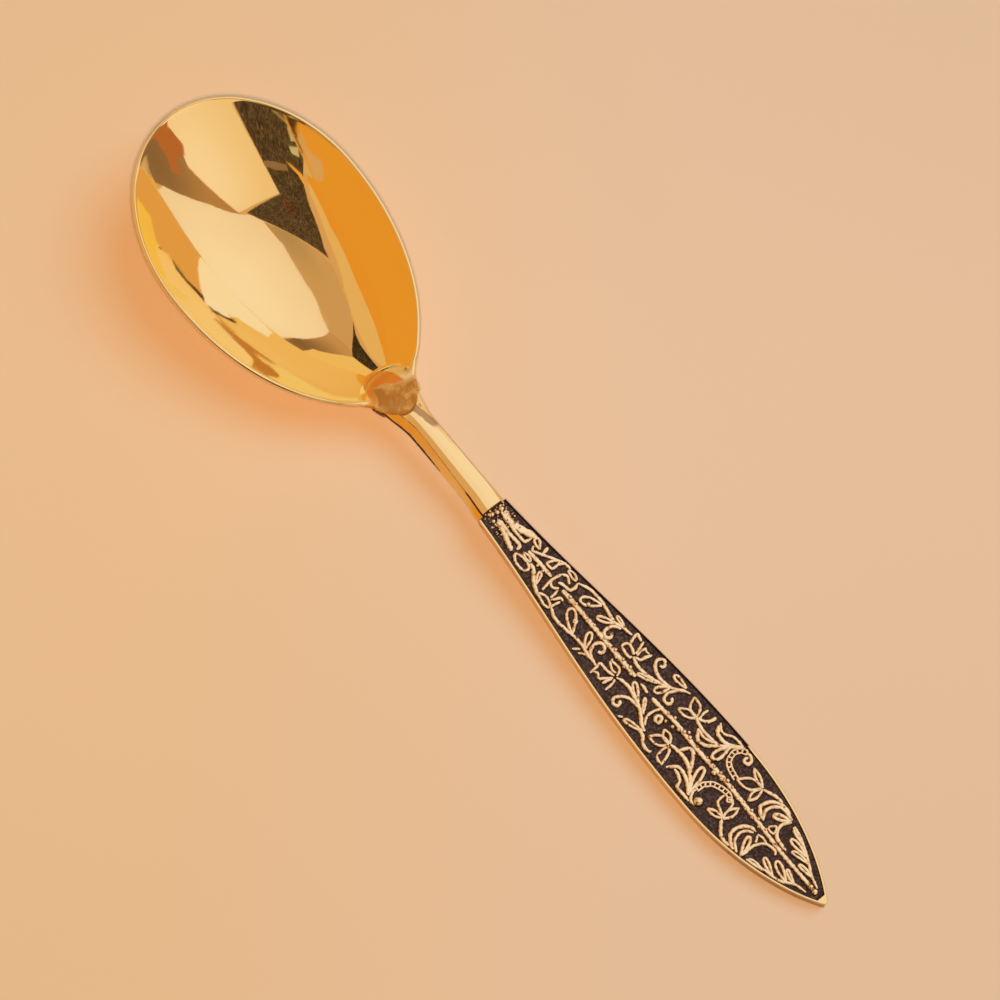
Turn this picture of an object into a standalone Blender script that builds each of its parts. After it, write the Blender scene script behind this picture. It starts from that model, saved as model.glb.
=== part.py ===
"""Brass nut spoon: a raised sheet bowl brazed to a cast handle that carries an inlaid relief plate.

Lengths are in metres, +Z up. The spoon lies as on a table, on the floor of its bowl and the tip of its
handle: the handle points to -Y, the bowl to +Y, and the origin is under the middle of its length.
"""

import math

import bmesh
import bpy
import numpy as np
from mathutils import Matrix, Vector
from mathutils.geometry import interpolate_bezier

MM = 0.001

# Whole spoon
TOTAL_LENGTH = 232.8 * MM
TIP_Y = -TOTAL_LENGTH / 2
FAR_Y = TOTAL_LENGTH / 2
SEAT_GAP = 0.3 * MM

# Bowl, raised from sheet
BOWL_WIDTH = 52.9 * MM
BOWL_LENGTH = 81.8 * MM
BOWL_FAR_LENGTH = 34.6 * MM
RIM_LIP = 0.73 * MM
FLANK_FULLNESS = 34.4 * MM
HEEL_FULLNESS = 7.5 * MM
DISH_FULLNESS = 32.0 * MM
NECK_HALF_WIDTH = 5.4 * MM
NECK_SPREAD = 4.1 * MM
NECK_ANGLE = math.radians(18)
SHEET = 1.0 * MM
RIM_HEIGHT_AT_NECK = 12.4 * MM
RIM_SLOPE = 0.158
FLOOR_FROM_NECK = 35.4 * MM
WALL_POWER = 2.45
BOWL_RINGS = 20
FAR_STEPS = 18
FLANK_STEPS = 16
TONGUE_STEPS = 7

# Tongue: the flat heel of the bowl that lies on the stem
TONGUE_LENGTH = 6.1 * MM
TONGUE_RADIUS = 4.25 * MM
TONGUE_INNER_REACH = 5.2 * MM
TONGUE_ROLL = 3.0 * MM

# Handle line: height of its upper edge along its length
TIP_HEIGHT = 4.0 * MM
LEAF_SLOPE = 0.022
RISE_START_Y = -57.0 * MM
RISE_END_Y = 28.0 * MM

# Leaf-shaped handle
LEAF_LENGTH = 116.2 * MM
LEAF_HALF_WIDTH = 10.0 * MM
LEAF_WIDEST = 35.4 * MM
LEAF_TIP_FULLNESS = 23.4 * MM
LEAF_FULLNESS = 31.2 * MM
LEAF_ROOT_HALF_WIDTH = 3.95 * MM
LEAF_ROOT_TAPER = 38.7 * MM
LEAF_ROOT_SPREAD = 2.1 * MM
LEAF_THICKNESS = 4.0 * MM
LEAF_EDGE_BREAK = 0.15 * MM
LEAF_BACK_BREAK = 0.7 * MM
LEAF_STEPS = 20
TIP_HALF_WIDTH = 0.3 * MM
RIM_WIDTH = 0.65 * MM
TRAY_DEPTH = 1.5 * MM
TRAY_TIP_HALF_WIDTH = 1.0 * MM
STEP_LENGTH = 0.25 * MM

# Stem and the saddle that spreads under the bowl's heel
STEM_TOP_HALF_WIDTH = 2.35 * MM
STEM_HALF_WIDTH = 3.75 * MM
STEM_ARRIS = 0.45 * MM
STEM_DEPTH = 4.7 * MM
STEM_ROUND = 1.2 * MM
STEM_STEPS = 12
SADDLE_TOP_HALF_WIDTH = 4.9 * MM
SADDLE_HALF_WIDTH = 5.9 * MM
SADDLE_SPREAD_LENGTH = 10.0 * MM
SADDLE_REACH = 11.0 * MM
SADDLE_END_HEIGHT = 2.3 * MM
SADDLE_STEPS = 11

# Relief plate let into the leaf's tray
GROUND_BELOW_RIM = 0.55 * MM
RIB_HEIGHT = 0.42 * MM
RIB_HALF_WIDTH = 0.38 * MM
RIB_FOOT_HALF_WIDTH = 0.55 * MM
PLATE_STEPS = 36

# Braze at the two shoulders of the neck
BRAZE_HALF_LENGTH = 2.3 * MM
BRAZE_HALF_WIDTH = 0.5 * MM
BRAZE_HALF_HEIGHT = 0.55 * MM
BRAZE_OUT = 6.1 * MM
BRAZE_BELOW_RIM = 1.95 * MM
BRAZE_BEHIND_NECK = 0.8 * MM
BRAZE_ANGLE = math.radians(-18)

BOWL_HALF_WIDTH = BOWL_WIDTH / 2 - RIM_LIP
NECK_Y = FAR_Y - BOWL_LENGTH
FLOOR_Y = NECK_Y + FLOOR_FROM_NECK
BOWL_WIDEST_Y = FAR_Y - BOWL_FAR_LENGTH
LEAF_ROOT_Y = TIP_Y + LEAF_LENGTH
LEAF_WIDEST_Y = TIP_Y + LEAF_WIDEST
TONGUE_END_Y = NECK_Y - TONGUE_LENGTH
SADDLE_END_Y = NECK_Y + SADDLE_REACH
NECK_RISE = RIM_HEIGHT_AT_NECK - TIP_HEIGHT - LEAF_SLOPE * (NECK_Y - TIP_Y)


def smooth_ramp(value, low, high):
    """0 below low, 1 above high, and a smooth rise between them."""
    share = min(1.0, max(0.0, (value - low) / (high - low)))
    return share * share * (3 - 2 * share)


def bezier(start, start_handle, end_handle, end, steps):
    """Points of one cubic curve in plan, with both ends."""
    knots = [Vector((x, y, 0)) for x, y in (start, start_handle, end_handle, end)]
    return [(p.x, p.y) for p in interpolate_bezier(*knots, steps + 1)]


def handle_top(y):
    """Height of the handle's upper edge at a place along the spoon."""
    rise = NECK_RISE * smooth_ramp(y, RISE_START_Y, RISE_END_Y)
    return TIP_HEIGHT + LEAF_SLOPE * (y - TIP_Y) + rise


# Bowl


def far_outline():
    """Right half of the rim's far end in plan, short of its widest place."""
    points = []
    length = BOWL_FAR_LENGTH - RIM_LIP
    for step in range(FAR_STEPS):
        turn = math.pi / 2 * step / FAR_STEPS
        points.append((BOWL_HALF_WIDTH * math.sin(turn), BOWL_WIDEST_Y + length * math.cos(turn)))
    return points


def flank_outline():
    """Right flank of the rim in plan, from its widest place to the corner of the neck."""
    return bezier(
        (BOWL_HALF_WIDTH, BOWL_WIDEST_Y),
        (BOWL_HALF_WIDTH, BOWL_WIDEST_Y - FLANK_FULLNESS),
        (NECK_HALF_WIDTH + NECK_SPREAD * math.sin(NECK_ANGLE), NECK_Y + NECK_SPREAD * math.cos(NECK_ANGLE)),
        (NECK_HALF_WIDTH, NECK_Y),
        FLANK_STEPS,
    )


def heel_outline():
    """Right edge of the dish in plan, from its widest place round its heel, as if it had no tongue."""
    return bezier(
        (BOWL_HALF_WIDTH, BOWL_WIDEST_Y),
        (BOWL_HALF_WIDTH, BOWL_WIDEST_Y - DISH_FULLNESS),
        (HEEL_FULLNESS, NECK_Y),
        (0, NECK_Y),
        FLANK_STEPS * 3,
    )


def tongue_outline():
    """Right half of the tongue in plan, from the corner of the neck to its round end."""
    side = TONGUE_LENGTH * 0.38
    return bezier(
        (NECK_HALF_WIDTH, NECK_Y),
        (NECK_HALF_WIDTH - side * math.sin(NECK_ANGLE), NECK_Y - side * math.cos(NECK_ANGLE)),
        (TONGUE_RADIUS * 0.75, TONGUE_END_Y),
        (0, TONGUE_END_Y),
        TONGUE_STEPS,
    )


DISH_POINTS = list(reversed(far_outline() + heel_outline()))
DISH_TURNS = [math.atan2(x, FLOOR_Y - y) for x, y in DISH_POINTS]
DISH_REACHES = [math.hypot(x, FLOOR_Y - y) for x, y in DISH_POINTS]


def bowl_inside(x, y):
    """Height of the bowl's inner face and of the tongue's upper face at a place in plan.

    The dish rises from its lowest point along straight rays in plan, each to the rim's height at its end.
    """
    turn = math.atan2(abs(x), FLOOR_Y - y)
    reach = float(np.interp(turn, DISH_TURNS, DISH_REACHES))
    rim = RIM_HEIGHT_AT_NECK + RIM_SLOPE * (FLOOR_Y - reach * math.cos(turn) - NECK_Y)
    share = min(1.0, math.hypot(x, FLOOR_Y - y) / reach)
    dish = SHEET + (rim - SHEET) * share**WALL_POWER
    inner_end = NECK_Y + TONGUE_INNER_REACH - TONGUE_RADIUS
    from_tongue = math.hypot(x, max(0.0, y - inner_end)) - TONGUE_RADIUS
    flat = 1 - smooth_ramp(from_tongue, 0, TONGUE_ROLL)
    return dish + (RIM_HEIGHT_AT_NECK - dish) * flat


def under_bowl(y, half_width):
    """Highest place for a piece of this half-width that lies under the bowl's heel with its seat gap."""
    heights = []
    nudge = 0.1 * MM
    for x in (0, half_width / 2, half_width):
        here = bowl_inside(x, y)
        slope_x = (bowl_inside(x + nudge, y) - here) / nudge
        slope_y = (bowl_inside(x, y + nudge) - here) / nudge
        heights.append(here - (SHEET + SEAT_GAP) * math.sqrt(1 + slope_x**2 + slope_y**2))
    return min(heights)


def bowl_mesh():
    """Inner face of the bowl and tongue, as rings around the lowest point."""
    right = far_outline() + flank_outline() + tongue_outline()[1:]
    edge = right + [(-x, y) for x, y in reversed(right[1:-1])]
    mesh = bmesh.new()
    centre = mesh.verts.new((0, FLOOR_Y, bowl_inside(0, FLOOR_Y)))
    rings = []
    for step in range(1, BOWL_RINGS + 1):
        share = step / BOWL_RINGS
        places = [(x * share, FLOOR_Y + (y - FLOOR_Y) * share) for x, y in edge]
        rings.append([mesh.verts.new((x, y, bowl_inside(x, y))) for x, y in places])
    count = len(edge)
    for i in range(count):
        mesh.faces.new((centre, rings[0][(i + 1) % count], rings[0][i]))
    for inner, outer in zip(rings, rings[1:]):
        for i in range(count):
            j = (i + 1) % count
            mesh.faces.new((inner[i], inner[j], outer[j], outer[i]))
    return mesh


# Handle


def leaf_edges():
    """Right edge of the leaf in plan, from its tip to its root."""
    tip = bezier(
        (TIP_HALF_WIDTH, TIP_Y),
        (TIP_HALF_WIDTH, TIP_Y),
        (LEAF_HALF_WIDTH, LEAF_WIDEST_Y - LEAF_TIP_FULLNESS),
        (LEAF_HALF_WIDTH, LEAF_WIDEST_Y),
        LEAF_STEPS,
    )
    body = bezier(
        (LEAF_HALF_WIDTH, LEAF_WIDEST_Y),
        (LEAF_HALF_WIDTH, LEAF_WIDEST_Y + LEAF_FULLNESS),
        (LEAF_ROOT_HALF_WIDTH + LEAF_ROOT_SPREAD, LEAF_ROOT_Y - LEAF_ROOT_TAPER),
        (LEAF_ROOT_HALF_WIDTH, LEAF_ROOT_Y),
        LEAF_STEPS,
    )
    return tip + body[1:]


LEAF_POINTS = leaf_edges()


def leaf_half_width(y):
    """Half-width of the leaf at a place along the spoon."""
    return float(np.interp(y, [p[1] for p in LEAF_POINTS], [p[0] for p in LEAF_POINTS]))


def tray_tip_y():
    """Where the tray's pointed end stops short of the leaf's tip."""
    for x, y in LEAF_POINTS:
        if x - RIM_WIDTH > TRAY_TIP_HALF_WIDTH:
            return y
    return LEAF_WIDEST_Y


TRAY_TIP_Y = tray_tip_y()


def leaf_section(y, with_tray):
    """Right half of the leaf's cross-section, from the middle of its face round to the middle of its back."""
    half = leaf_half_width(y)
    top = handle_top(y)
    back = top - LEAF_THICKNESS
    edge_break = min(LEAF_EDGE_BREAK, half * 0.2)
    back_break = min(LEAF_BACK_BREAK, half * 0.4)
    inner = half - RIM_WIDTH if with_tray else half * 0.4
    floor = top - TRAY_DEPTH if with_tray else top
    return [
        (0, floor),
        (inner if with_tray else inner * 0.5, floor),
        (inner, top),
        (half - edge_break, top),
        (half, top - edge_break),
        (half, back + back_break),
        (half - back_break, back),
        (0, back),
    ]


def stem_section(y):
    """Right half of the stem's cross-section: flat on top, spreading to its sides, flat on its back."""
    spread_start = NECK_Y - SADDLE_SPREAD_LENGTH
    spread = smooth_ramp(y, spread_start, NECK_Y + 0.5 * MM)
    upper = STEM_TOP_HALF_WIDTH + (SADDLE_TOP_HALF_WIDTH - STEM_TOP_HALF_WIDTH) * spread
    lower = STEM_HALF_WIDTH + (SADDLE_HALF_WIDTH - STEM_HALF_WIDTH) * spread
    root = 1 - smooth_ramp(y, LEAF_ROOT_Y, LEAF_ROOT_Y + SADDLE_SPREAD_LENGTH)
    lower += (LEAF_ROOT_HALF_WIDTH - STEM_HALF_WIDTH) * root
    depth = STEM_DEPTH + (LEAF_THICKNESS - STEM_DEPTH) * root
    top = handle_top(y) - SHEET - SEAT_GAP
    back = handle_top(y) - depth
    past_neck = max(0.0, (y - NECK_Y) / SADDLE_REACH)
    if past_neck > 0:
        round_end = math.sqrt(max(0.06, 1 - past_neck**2))
        upper *= round_end
        lower *= round_end
        top = min(top, under_bowl(y, upper))
        back += (SADDLE_END_HEIGHT - back) * past_neck**1.5
    arris = STEM_ARRIS
    rounding = min(STEM_ROUND, (top - back) * 0.4)
    return [
        (0, top),
        (upper - arris, top),
        (upper - arris * 0.35, top - arris * 0.2),
        (upper, top - arris * 0.7),
        ((upper + lower) / 2, (top + back + rounding) / 2),
        (lower, back + rounding),
        (lower - rounding * 0.7, back),
        (0, back),
    ]


def handle_stations():
    """Cross-sections of the handle bar with their places, from the leaf's tip to the saddle's end."""
    stations = []
    for _, y in LEAF_POINTS[:-1]:
        if y <= TRAY_TIP_Y:
            stations.append((y, leaf_section(y, with_tray=False)))
        if y == TRAY_TIP_Y:
            y += STEP_LENGTH
        if y > TRAY_TIP_Y:
            stations.append((y, leaf_section(y, with_tray=True)))
    stations.append((LEAF_ROOT_Y - STEP_LENGTH, leaf_section(LEAF_ROOT_Y - STEP_LENGTH, with_tray=True)))
    for step in range(STEM_STEPS + 1):
        y = LEAF_ROOT_Y + (NECK_Y - LEAF_ROOT_Y) * step / STEM_STEPS
        stations.append((y, stem_section(y)))
    for step in range(1, SADDLE_STEPS + 1):
        y = NECK_Y + (SADDLE_END_Y - NECK_Y) * step / SADDLE_STEPS
        stations.append((y, stem_section(y)))
    return stations


def loft(stations):
    """Closed mesh through right-half cross-sections, mirrored across the middle and capped at both ends."""
    mesh = bmesh.new()
    loops = []
    for y, half in stations:
        ring = half + [(-x, z) for x, z in reversed(half[1:-1])]
        loops.append([mesh.verts.new((x, y, z)) for x, z in ring])
    for near, far in zip(loops, loops[1:]):
        for i in range(len(near)):
            j = (i + 1) % len(near)
            mesh.faces.new((near[i], far[i], far[j], near[j]))
    mesh.faces.new(loops[0])
    mesh.faces.new(list(reversed(loops[-1])))
    bmesh.ops.recalc_face_normals(mesh, faces=mesh.faces)
    return mesh


# Relief plate


def plate_stations():
    """Cross-sections of the relief plate, which stands clear of the tray by the seat gap."""
    start = TRAY_TIP_Y + STEP_LENGTH + SEAT_GAP
    end = LEAF_ROOT_Y - SEAT_GAP
    stations = []
    for step in range(PLATE_STEPS + 1):
        y = start + (end - start) * step / PLATE_STEPS
        half = leaf_half_width(y) - RIM_WIDTH - SEAT_GAP
        ground = handle_top(y) - GROUND_BELOW_RIM
        under = handle_top(y) - TRAY_DEPTH + SEAT_GAP
        rib = min(RIB_HALF_WIDTH, half * 0.4)
        foot = min(RIB_FOOT_HALF_WIDTH, half * 0.6)
        section = [(0, ground + RIB_HEIGHT), (rib, ground + RIB_HEIGHT), (foot, ground)]
        stations.append((y, section + [(half, ground), (half, under), (0, under)]))
    return stations


# Braze


def braze_mesh(side):
    """One bead of braze in the corner under the bowl's rim and beside the saddle, on the -1 or +1 side."""
    mesh = bmesh.new()
    bmesh.ops.create_icosphere(mesh, subdivisions=2, radius=1.0)
    size = Matrix.Diagonal((BRAZE_HALF_WIDTH, BRAZE_HALF_LENGTH, BRAZE_HALF_HEIGHT, 1))
    turn = Matrix.Rotation(BRAZE_ANGLE * side, 4, "Z")
    place = Vector((side * BRAZE_OUT, NECK_Y - BRAZE_BEHIND_NECK, RIM_HEIGHT_AT_NECK - BRAZE_BELOW_RIM))
    mesh.transform(Matrix.Translation(place) @ turn @ size)
    return mesh


# Objects and materials


def brass(name, colour, roughness):
    """Metal material with one colour and one roughness."""
    material = bpy.data.materials.new(name)
    material.use_nodes = True
    shader = material.node_tree.nodes["Principled BSDF"]
    shader.inputs["Base Color"].default_value = (*colour, 1)
    shader.inputs["Metallic"].default_value = 1
    shader.inputs["Roughness"].default_value = roughness
    return material


def add_part(name, mesh, material, sharp_angle=math.radians(35)):
    """Named object from a built mesh, shaded smooth up to the sharp angle."""
    data = bpy.data.meshes.new(name)
    mesh.to_mesh(data)
    mesh.free()
    data.materials.append(material)
    data.shade_smooth()
    data.set_sharp_from_angle(angle=sharp_angle)
    part = bpy.data.objects.new(name, data)
    bpy.context.scene.collection.objects.link(part)
    return part


def build():
    """All pieces of the spoon, under one empty at the origin."""
    for old in list(bpy.data.objects):
        bpy.data.objects.remove(old, do_unlink=True)
    spoon = bpy.data.objects.new("spoon", None)
    bpy.context.scene.collection.objects.link(spoon)

    bowl = add_part("bowl", bowl_mesh(), brass("polished_sheet_brass", (0.83, 0.53, 0.16), 0.08))
    sheet = bowl.modifiers.new("sheet", "SOLIDIFY")
    sheet.thickness = SHEET
    sheet.offset = -1

    parts = [
        bowl,
        add_part("handle_bar", loft(handle_stations()), brass("polished_cast_brass", (0.80, 0.50, 0.15), 0.16)),
        add_part("relief_plate", loft(plate_stations()), brass("blackened_brass", (0.05, 0.04, 0.045), 0.55)),
        add_part("heel_braze_left", braze_mesh(-1), brass("braze_left", (0.20, 0.10, 0.05), 0.6)),
        add_part("heel_braze_right", braze_mesh(1), brass("braze_right", (0.20, 0.10, 0.05), 0.6)),
    ]
    for part in parts:
        part.parent = spoon


build()
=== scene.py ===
"""Dressed brass nut spoon: polished bowl, cast handle, blackened ground with gilt scrolls, and the studio.

Lengths are in metres. The spoon lies along Y on the floor at Z = 0, its bowl at +Y and its handle at -Y.
"""

import logging
import math
import random
from dataclasses import dataclass
from enum import Enum

import bmesh
import bpy
import numpy as np
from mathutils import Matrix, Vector


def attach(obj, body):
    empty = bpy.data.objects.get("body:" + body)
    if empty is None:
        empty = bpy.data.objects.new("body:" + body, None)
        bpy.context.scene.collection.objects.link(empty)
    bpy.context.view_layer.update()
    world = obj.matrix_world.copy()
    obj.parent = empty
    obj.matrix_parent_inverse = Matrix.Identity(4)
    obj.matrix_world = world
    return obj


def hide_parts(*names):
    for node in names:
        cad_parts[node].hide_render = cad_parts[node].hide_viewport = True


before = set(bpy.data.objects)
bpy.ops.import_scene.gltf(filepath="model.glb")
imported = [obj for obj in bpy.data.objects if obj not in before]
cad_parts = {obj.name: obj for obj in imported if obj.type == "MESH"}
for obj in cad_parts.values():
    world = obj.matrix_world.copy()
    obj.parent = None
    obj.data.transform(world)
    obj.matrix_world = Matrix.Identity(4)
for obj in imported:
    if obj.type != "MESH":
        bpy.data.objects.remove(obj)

LOG = logging.getLogger("spoon")
MM = 0.001
BODY = "root"

Array = np.ndarray
Mesh = bpy.types.Mesh
Piece = bpy.types.Object
Material = bpy.types.Material
Node = bpy.types.Node
NodeTree = bpy.types.NodeTree
Socket = bpy.types.NodeSocket
Colour = tuple[float, float, float]
Spot = tuple[float, float]
Bead = tuple[float, float, float]
Place = tuple[float, float, float]


class Slot(Enum):
    """Material slots of the part's record."""

    BOWL = "bowl"
    HANDLE = "handle_bar"
    RELIEF = "relief_plate"
    BRAZE = "braze"


# Shared helpers


def smooth_ramp(value: Array | float, low: float, high: float) -> Array:
    """Rise smoothly from 0 to 1.

    Args:
        value: Where to read the ramp.
        low: Value at and below which the ramp is 0.
        high: Value at and above which the ramp is 1.

    Returns:
        Ramp, of the shape of value.
    """
    share = np.clip((np.asarray(value, float) - low) / (high - low), 0.0, 1.0)
    return share * share * (3 - 2 * share)


def bezier(knots: list[Spot], steps: int) -> Array:
    """Sample one cubic curve in plan.

    Args:
        knots: Start, two handles and end.
        steps: Number of equal steps.

    Returns:
        Points with both ends, one per row.
    """
    a, b, c, d = (np.array(knot, float) for knot in knots)
    t = np.linspace(0, 1, steps + 1)[:, None]
    return a * (1 - t) ** 3 + 3 * b * t * (1 - t) ** 2 + 3 * c * t * t * (1 - t) + d * t**3


def unit(vectors: Array) -> Array:
    """Scale vectors in the last axis to length 1."""
    return vectors / np.maximum(np.linalg.norm(vectors, axis=-1, keepdims=True), 1e-12)


def shell_mesh(name: str, loops: Array, start: Array, end: Array) -> Mesh:
    """Skin equal closed loops into one closed mesh.

    Args:
        name: Name of the mesh.
        loops: Points as loop, place in the loop, axis.
        start: Point that closes the first loop.
        end: Point that closes the last loop.

    Returns:
        Smooth-shaded mesh with outward faces, its vertices in the order of the loops, then start and end.
    """
    count, around, _ = loops.shape
    verts = np.vstack([loops.reshape(-1, 3), start[None], end[None]])
    here = np.arange(around)
    after = (here + 1) % around
    faces = []
    for k in range(count - 1):
        low, high = k * around, (k + 1) * around
        faces += np.stack([low + here, low + after, high + after, high + here], 1).tolist()
    last = (count - 1) * around
    faces += [[count * around, int(j), int(i)] for i, j in zip(here, after)]
    faces += [[count * around + 1, last + int(i), last + int(j)] for i, j in zip(here, after)]
    mesh = bpy.data.meshes.new(name)
    mesh.from_pydata(verts.tolist(), [], faces)
    outward(mesh)
    mesh.shade_smooth()
    return mesh


def outward(mesh: Mesh) -> None:
    """Turn all faces of a closed mesh outwards.

    Args:
        mesh: The mesh, changed in place.
    """
    work = bmesh.new()
    work.from_mesh(mesh)
    bmesh.ops.recalc_face_normals(work, faces=work.faces)
    work.to_mesh(mesh)
    work.free()


def point_values(mesh: Mesh, name: str, values: Array) -> None:
    """Store one number for each vertex under a name that materials read."""
    layer = mesh.attributes.new(name, "FLOAT", "POINT")
    layer.data.foreach_set("value", np.asarray(values, np.float32).ravel())


def add_piece(name: str, data: bpy.types.ID) -> Piece:
    """Put a mesh, curve, lamp or camera into the scene.

    Args:
        name: Name of the new object.
        data: What the object holds.

    Returns:
        The object, at the origin.
    """
    piece = bpy.data.objects.new(name, data)
    bpy.context.scene.collection.objects.link(piece)
    return piece


def settle(piece: Piece, slot: Slot, *nodes: str) -> None:
    """Tie a finished piece to the frame and report it.

    Args:
        piece: The finished mesh object.
        slot: Not used.
        nodes: Nodes of the solid model that it stands for.
    """
    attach(piece, BODY)
    if nodes:
        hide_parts(*nodes)
    LOG.info("%s: %d faces", piece.name, len(piece.data.polygons))


class Graph:
    """Adds nodes to one tree and links them."""

    def __init__(self, tree: NodeTree) -> None:
        """Keep the tree that nodes go into."""
        self.tree = tree

    def add(self, kind: str, inputs: dict | None = None, **settings: object) -> Node:
        """Add one node.

        Args:
            kind: Type of the node.
            inputs: Values or source sockets by the input's name or number.
            settings: Properties of the node.

        Returns:
            The new node.
        """
        node = self.tree.nodes.new(kind)
        for key, value in settings.items():
            setattr(node, key, value)
        for key, value in (inputs or {}).items():
            self.set_input(node, key, value)
        return node

    def set_input(self, node: Node, key: str | int, value: object) -> None:
        """Set one input of a node.

        Args:
            node: The node.
            key: The input's name or number.
            value: Value or source socket.
        """
        if isinstance(value, Socket):
            self.tree.links.new(value, node.inputs[key])
        else:
            node.inputs[key].default_value = value

    def one(self, kind: str, inputs: dict | None = None, **settings: object) -> Socket:
        """Add one node and return its first output."""
        return self.add(kind, inputs, **settings).outputs[0]

    def math(self, operation: str, *values: object) -> Socket:
        """Add a Math node, which any tree takes, and return its result."""
        return self.one("ShaderNodeMath", dict(enumerate(values)), operation=operation)

    def times(self, a: object, b: object) -> Socket:
        """Multiply two values."""
        return self.math("MULTIPLY", a, b)

    def times_plus(self, a: object, b: object, c: object) -> Socket:
        """Multiply two values and add a third."""
        return self.math("MULTIPLY_ADD", a, b, c)

    def span(self, value: object, low: float, high: float, first: float = 0.0, last: float = 1.0) -> Socket:
        """Map a value smoothly from low..high to first..last."""
        inputs = {0: value, 1: low, 2: high, 3: first, 4: last}
        return self.one("ShaderNodeMapRange", inputs, interpolation_type="SMOOTHSTEP")

    def mix(self, factor: object, a: object, b: object) -> Socket:
        """Mix two colours and return the result."""
        a, b = ((*c, 1.0) if isinstance(c, tuple) and len(c) == 3 else c for c in (a, b))
        return self.add("ShaderNodeMix", {0: factor, 6: a, 7: b}, data_type="RGBA").outputs[2]

    def noise(self, vector: object, scale: object, detail: float = 2.0, roughness: float = 0.5) -> Socket:
        """Add a noise pattern and return its value."""
        inputs = {"Vector": vector, "Scale": scale, "Detail": detail, "Roughness": roughness}
        return self.add("ShaderNodeTexNoise", inputs).outputs["Fac"]

    def attribute(self, name: str) -> Socket:
        """Read one of the mesh's own point values."""
        return self.add("ShaderNodeAttribute", attribute_name=name).outputs["Fac"]

    def place(self) -> Socket:
        """Object coordinates."""
        return self.add("ShaderNodeTexCoord").outputs["Object"]


class Surface(Graph):
    """Adds nodes to a new material with one shader, which is metal unless told otherwise."""

    def __init__(self, name: str) -> None:
        """Make the material.

        Args:
            name: Name of the material.
        """
        self.material = bpy.data.materials.new(name)
        self.material.use_nodes = True
        super().__init__(self.material.node_tree)
        self.shader = self.tree.nodes["Principled BSDF"]
        self.feed("Metallic", 1.0)

    def feed(self, name: str, value: object) -> None:
        """Give one of the shader's inputs a fixed value or a source socket."""
        self.set_input(self.shader, name, value)

    def bump(self, height: Socket, strength: float, distance: float) -> None:
        """Let the shader's normal follow a height."""
        inputs = {"Height": height, "Strength": strength, "Distance": distance}
        self.feed("Normal", self.one("ShaderNodeBump", inputs))


# Shader groups that more than one finish uses


def shader_group(name: str, inputs: dict[str, float], output: str) -> tuple[NodeTree, Graph, Node]:
    """Start a shader group with number inputs and one number output.

    Args:
        name: Name of the group.
        inputs: Default of each named input.
        output: Name of the output.

    Returns:
        The group, the helper for it, and its input node.
    """
    tree = bpy.data.node_groups.new(name, "ShaderNodeTree")
    for key, value in inputs.items():
        tree.interface.new_socket(name=key, in_out="INPUT", socket_type="NodeSocketFloat").default_value = value
    tree.interface.new_socket(name=output, in_out="OUTPUT", socket_type="NodeSocketFloat")
    graph = Graph(tree)
    return tree, graph, graph.add("NodeGroupInput")


def buffing_group() -> NodeTree:
    """Build the fine streaks that a buffing wheel leaves.

    Returns:
        Group with the output Streaks, from 0 to 1.
    """
    tree, graph, entry = shader_group("buffing_streaks", {"Scale": 600.0}, "Streaks")
    place = graph.place()
    streaks = []
    for turn in (0.35, 2.2):
        turned = graph.one("ShaderNodeMapping", {"Vector": place, "Rotation": (0, 0, turn), "Scale": (1, 0.06, 1)})
        streaks.append(graph.noise(turned, entry.outputs["Scale"]))
    graph.add("NodeGroupOutput", {"Streaks": graph.span(graph.times(*streaks), 0.12, 0.42)})
    return tree


def pits_group() -> NodeTree:
    """Build the scattered pits of a sand casting.

    Returns:
        Group with the output Pits, 1 in a pit and 0 on sound metal.
    """
    tree, graph, entry = shader_group("casting_pits", {"Scale": 500.0, "Amount": 0.3}, "Pits")
    place = graph.place()
    wobble = graph.add("ShaderNodeTexNoise", {"Vector": place, "Scale": 900.0}).outputs["Color"]
    bent = graph.add("ShaderNodeMix", {0: 0.0006, 4: place, 5: wobble}, data_type="VECTOR").outputs[1]
    cells = graph.add("ShaderNodeTexVoronoi", {"Vector": bent, "Scale": entry.outputs["Scale"]})
    chance = graph.one("ShaderNodeSeparateColor", {0: cells.outputs["Color"]})
    chosen = graph.math("LESS_THAN", chance, entry.outputs["Amount"])
    size = graph.times_plus(chance, -0.5, 0.42)
    depth = graph.math("SUBTRACT", size, cells.outputs["Distance"])
    graph.add("NodeGroupOutput", {"Pits": graph.times(graph.span(depth, 0.0, 0.16), chosen)})
    return tree


def tarnish_group() -> NodeTree:
    """Build soft cloudy stains.

    Returns:
        Group with the output Stain, from 0 to 1.
    """
    tree, graph, entry = shader_group("tarnish_clouds", {"Scale": 60.0, "Cover": 0.5}, "Stain")
    cloud = graph.noise(graph.place(), entry.outputs["Scale"], 5.0)
    edge = graph.math("SUBTRACT", 1.0, entry.outputs["Cover"])
    lift = graph.math("SUBTRACT", cloud, edge)
    graph.add("NodeGroupOutput", {"Stain": graph.span(lift, -0.12, 0.12)})
    return tree


class SharedEffects:
    """The shader groups, built once."""

    def __init__(self) -> None:
        """Build the three groups."""
        self.buffing = buffing_group()
        self.pits = pits_group()
        self.tarnish = tarnish_group()

    def use(self, graph: Graph, group: NodeTree, **values: float) -> Socket:
        """Place a group in a material.

        Args:
            graph: Helper for the material's tree.
            group: One of the groups.
            values: Values for its inputs.

        Returns:
            The group's output.
        """
        return graph.one("ShaderNodeGroup", values, node_tree=group)


# Finishes


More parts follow.
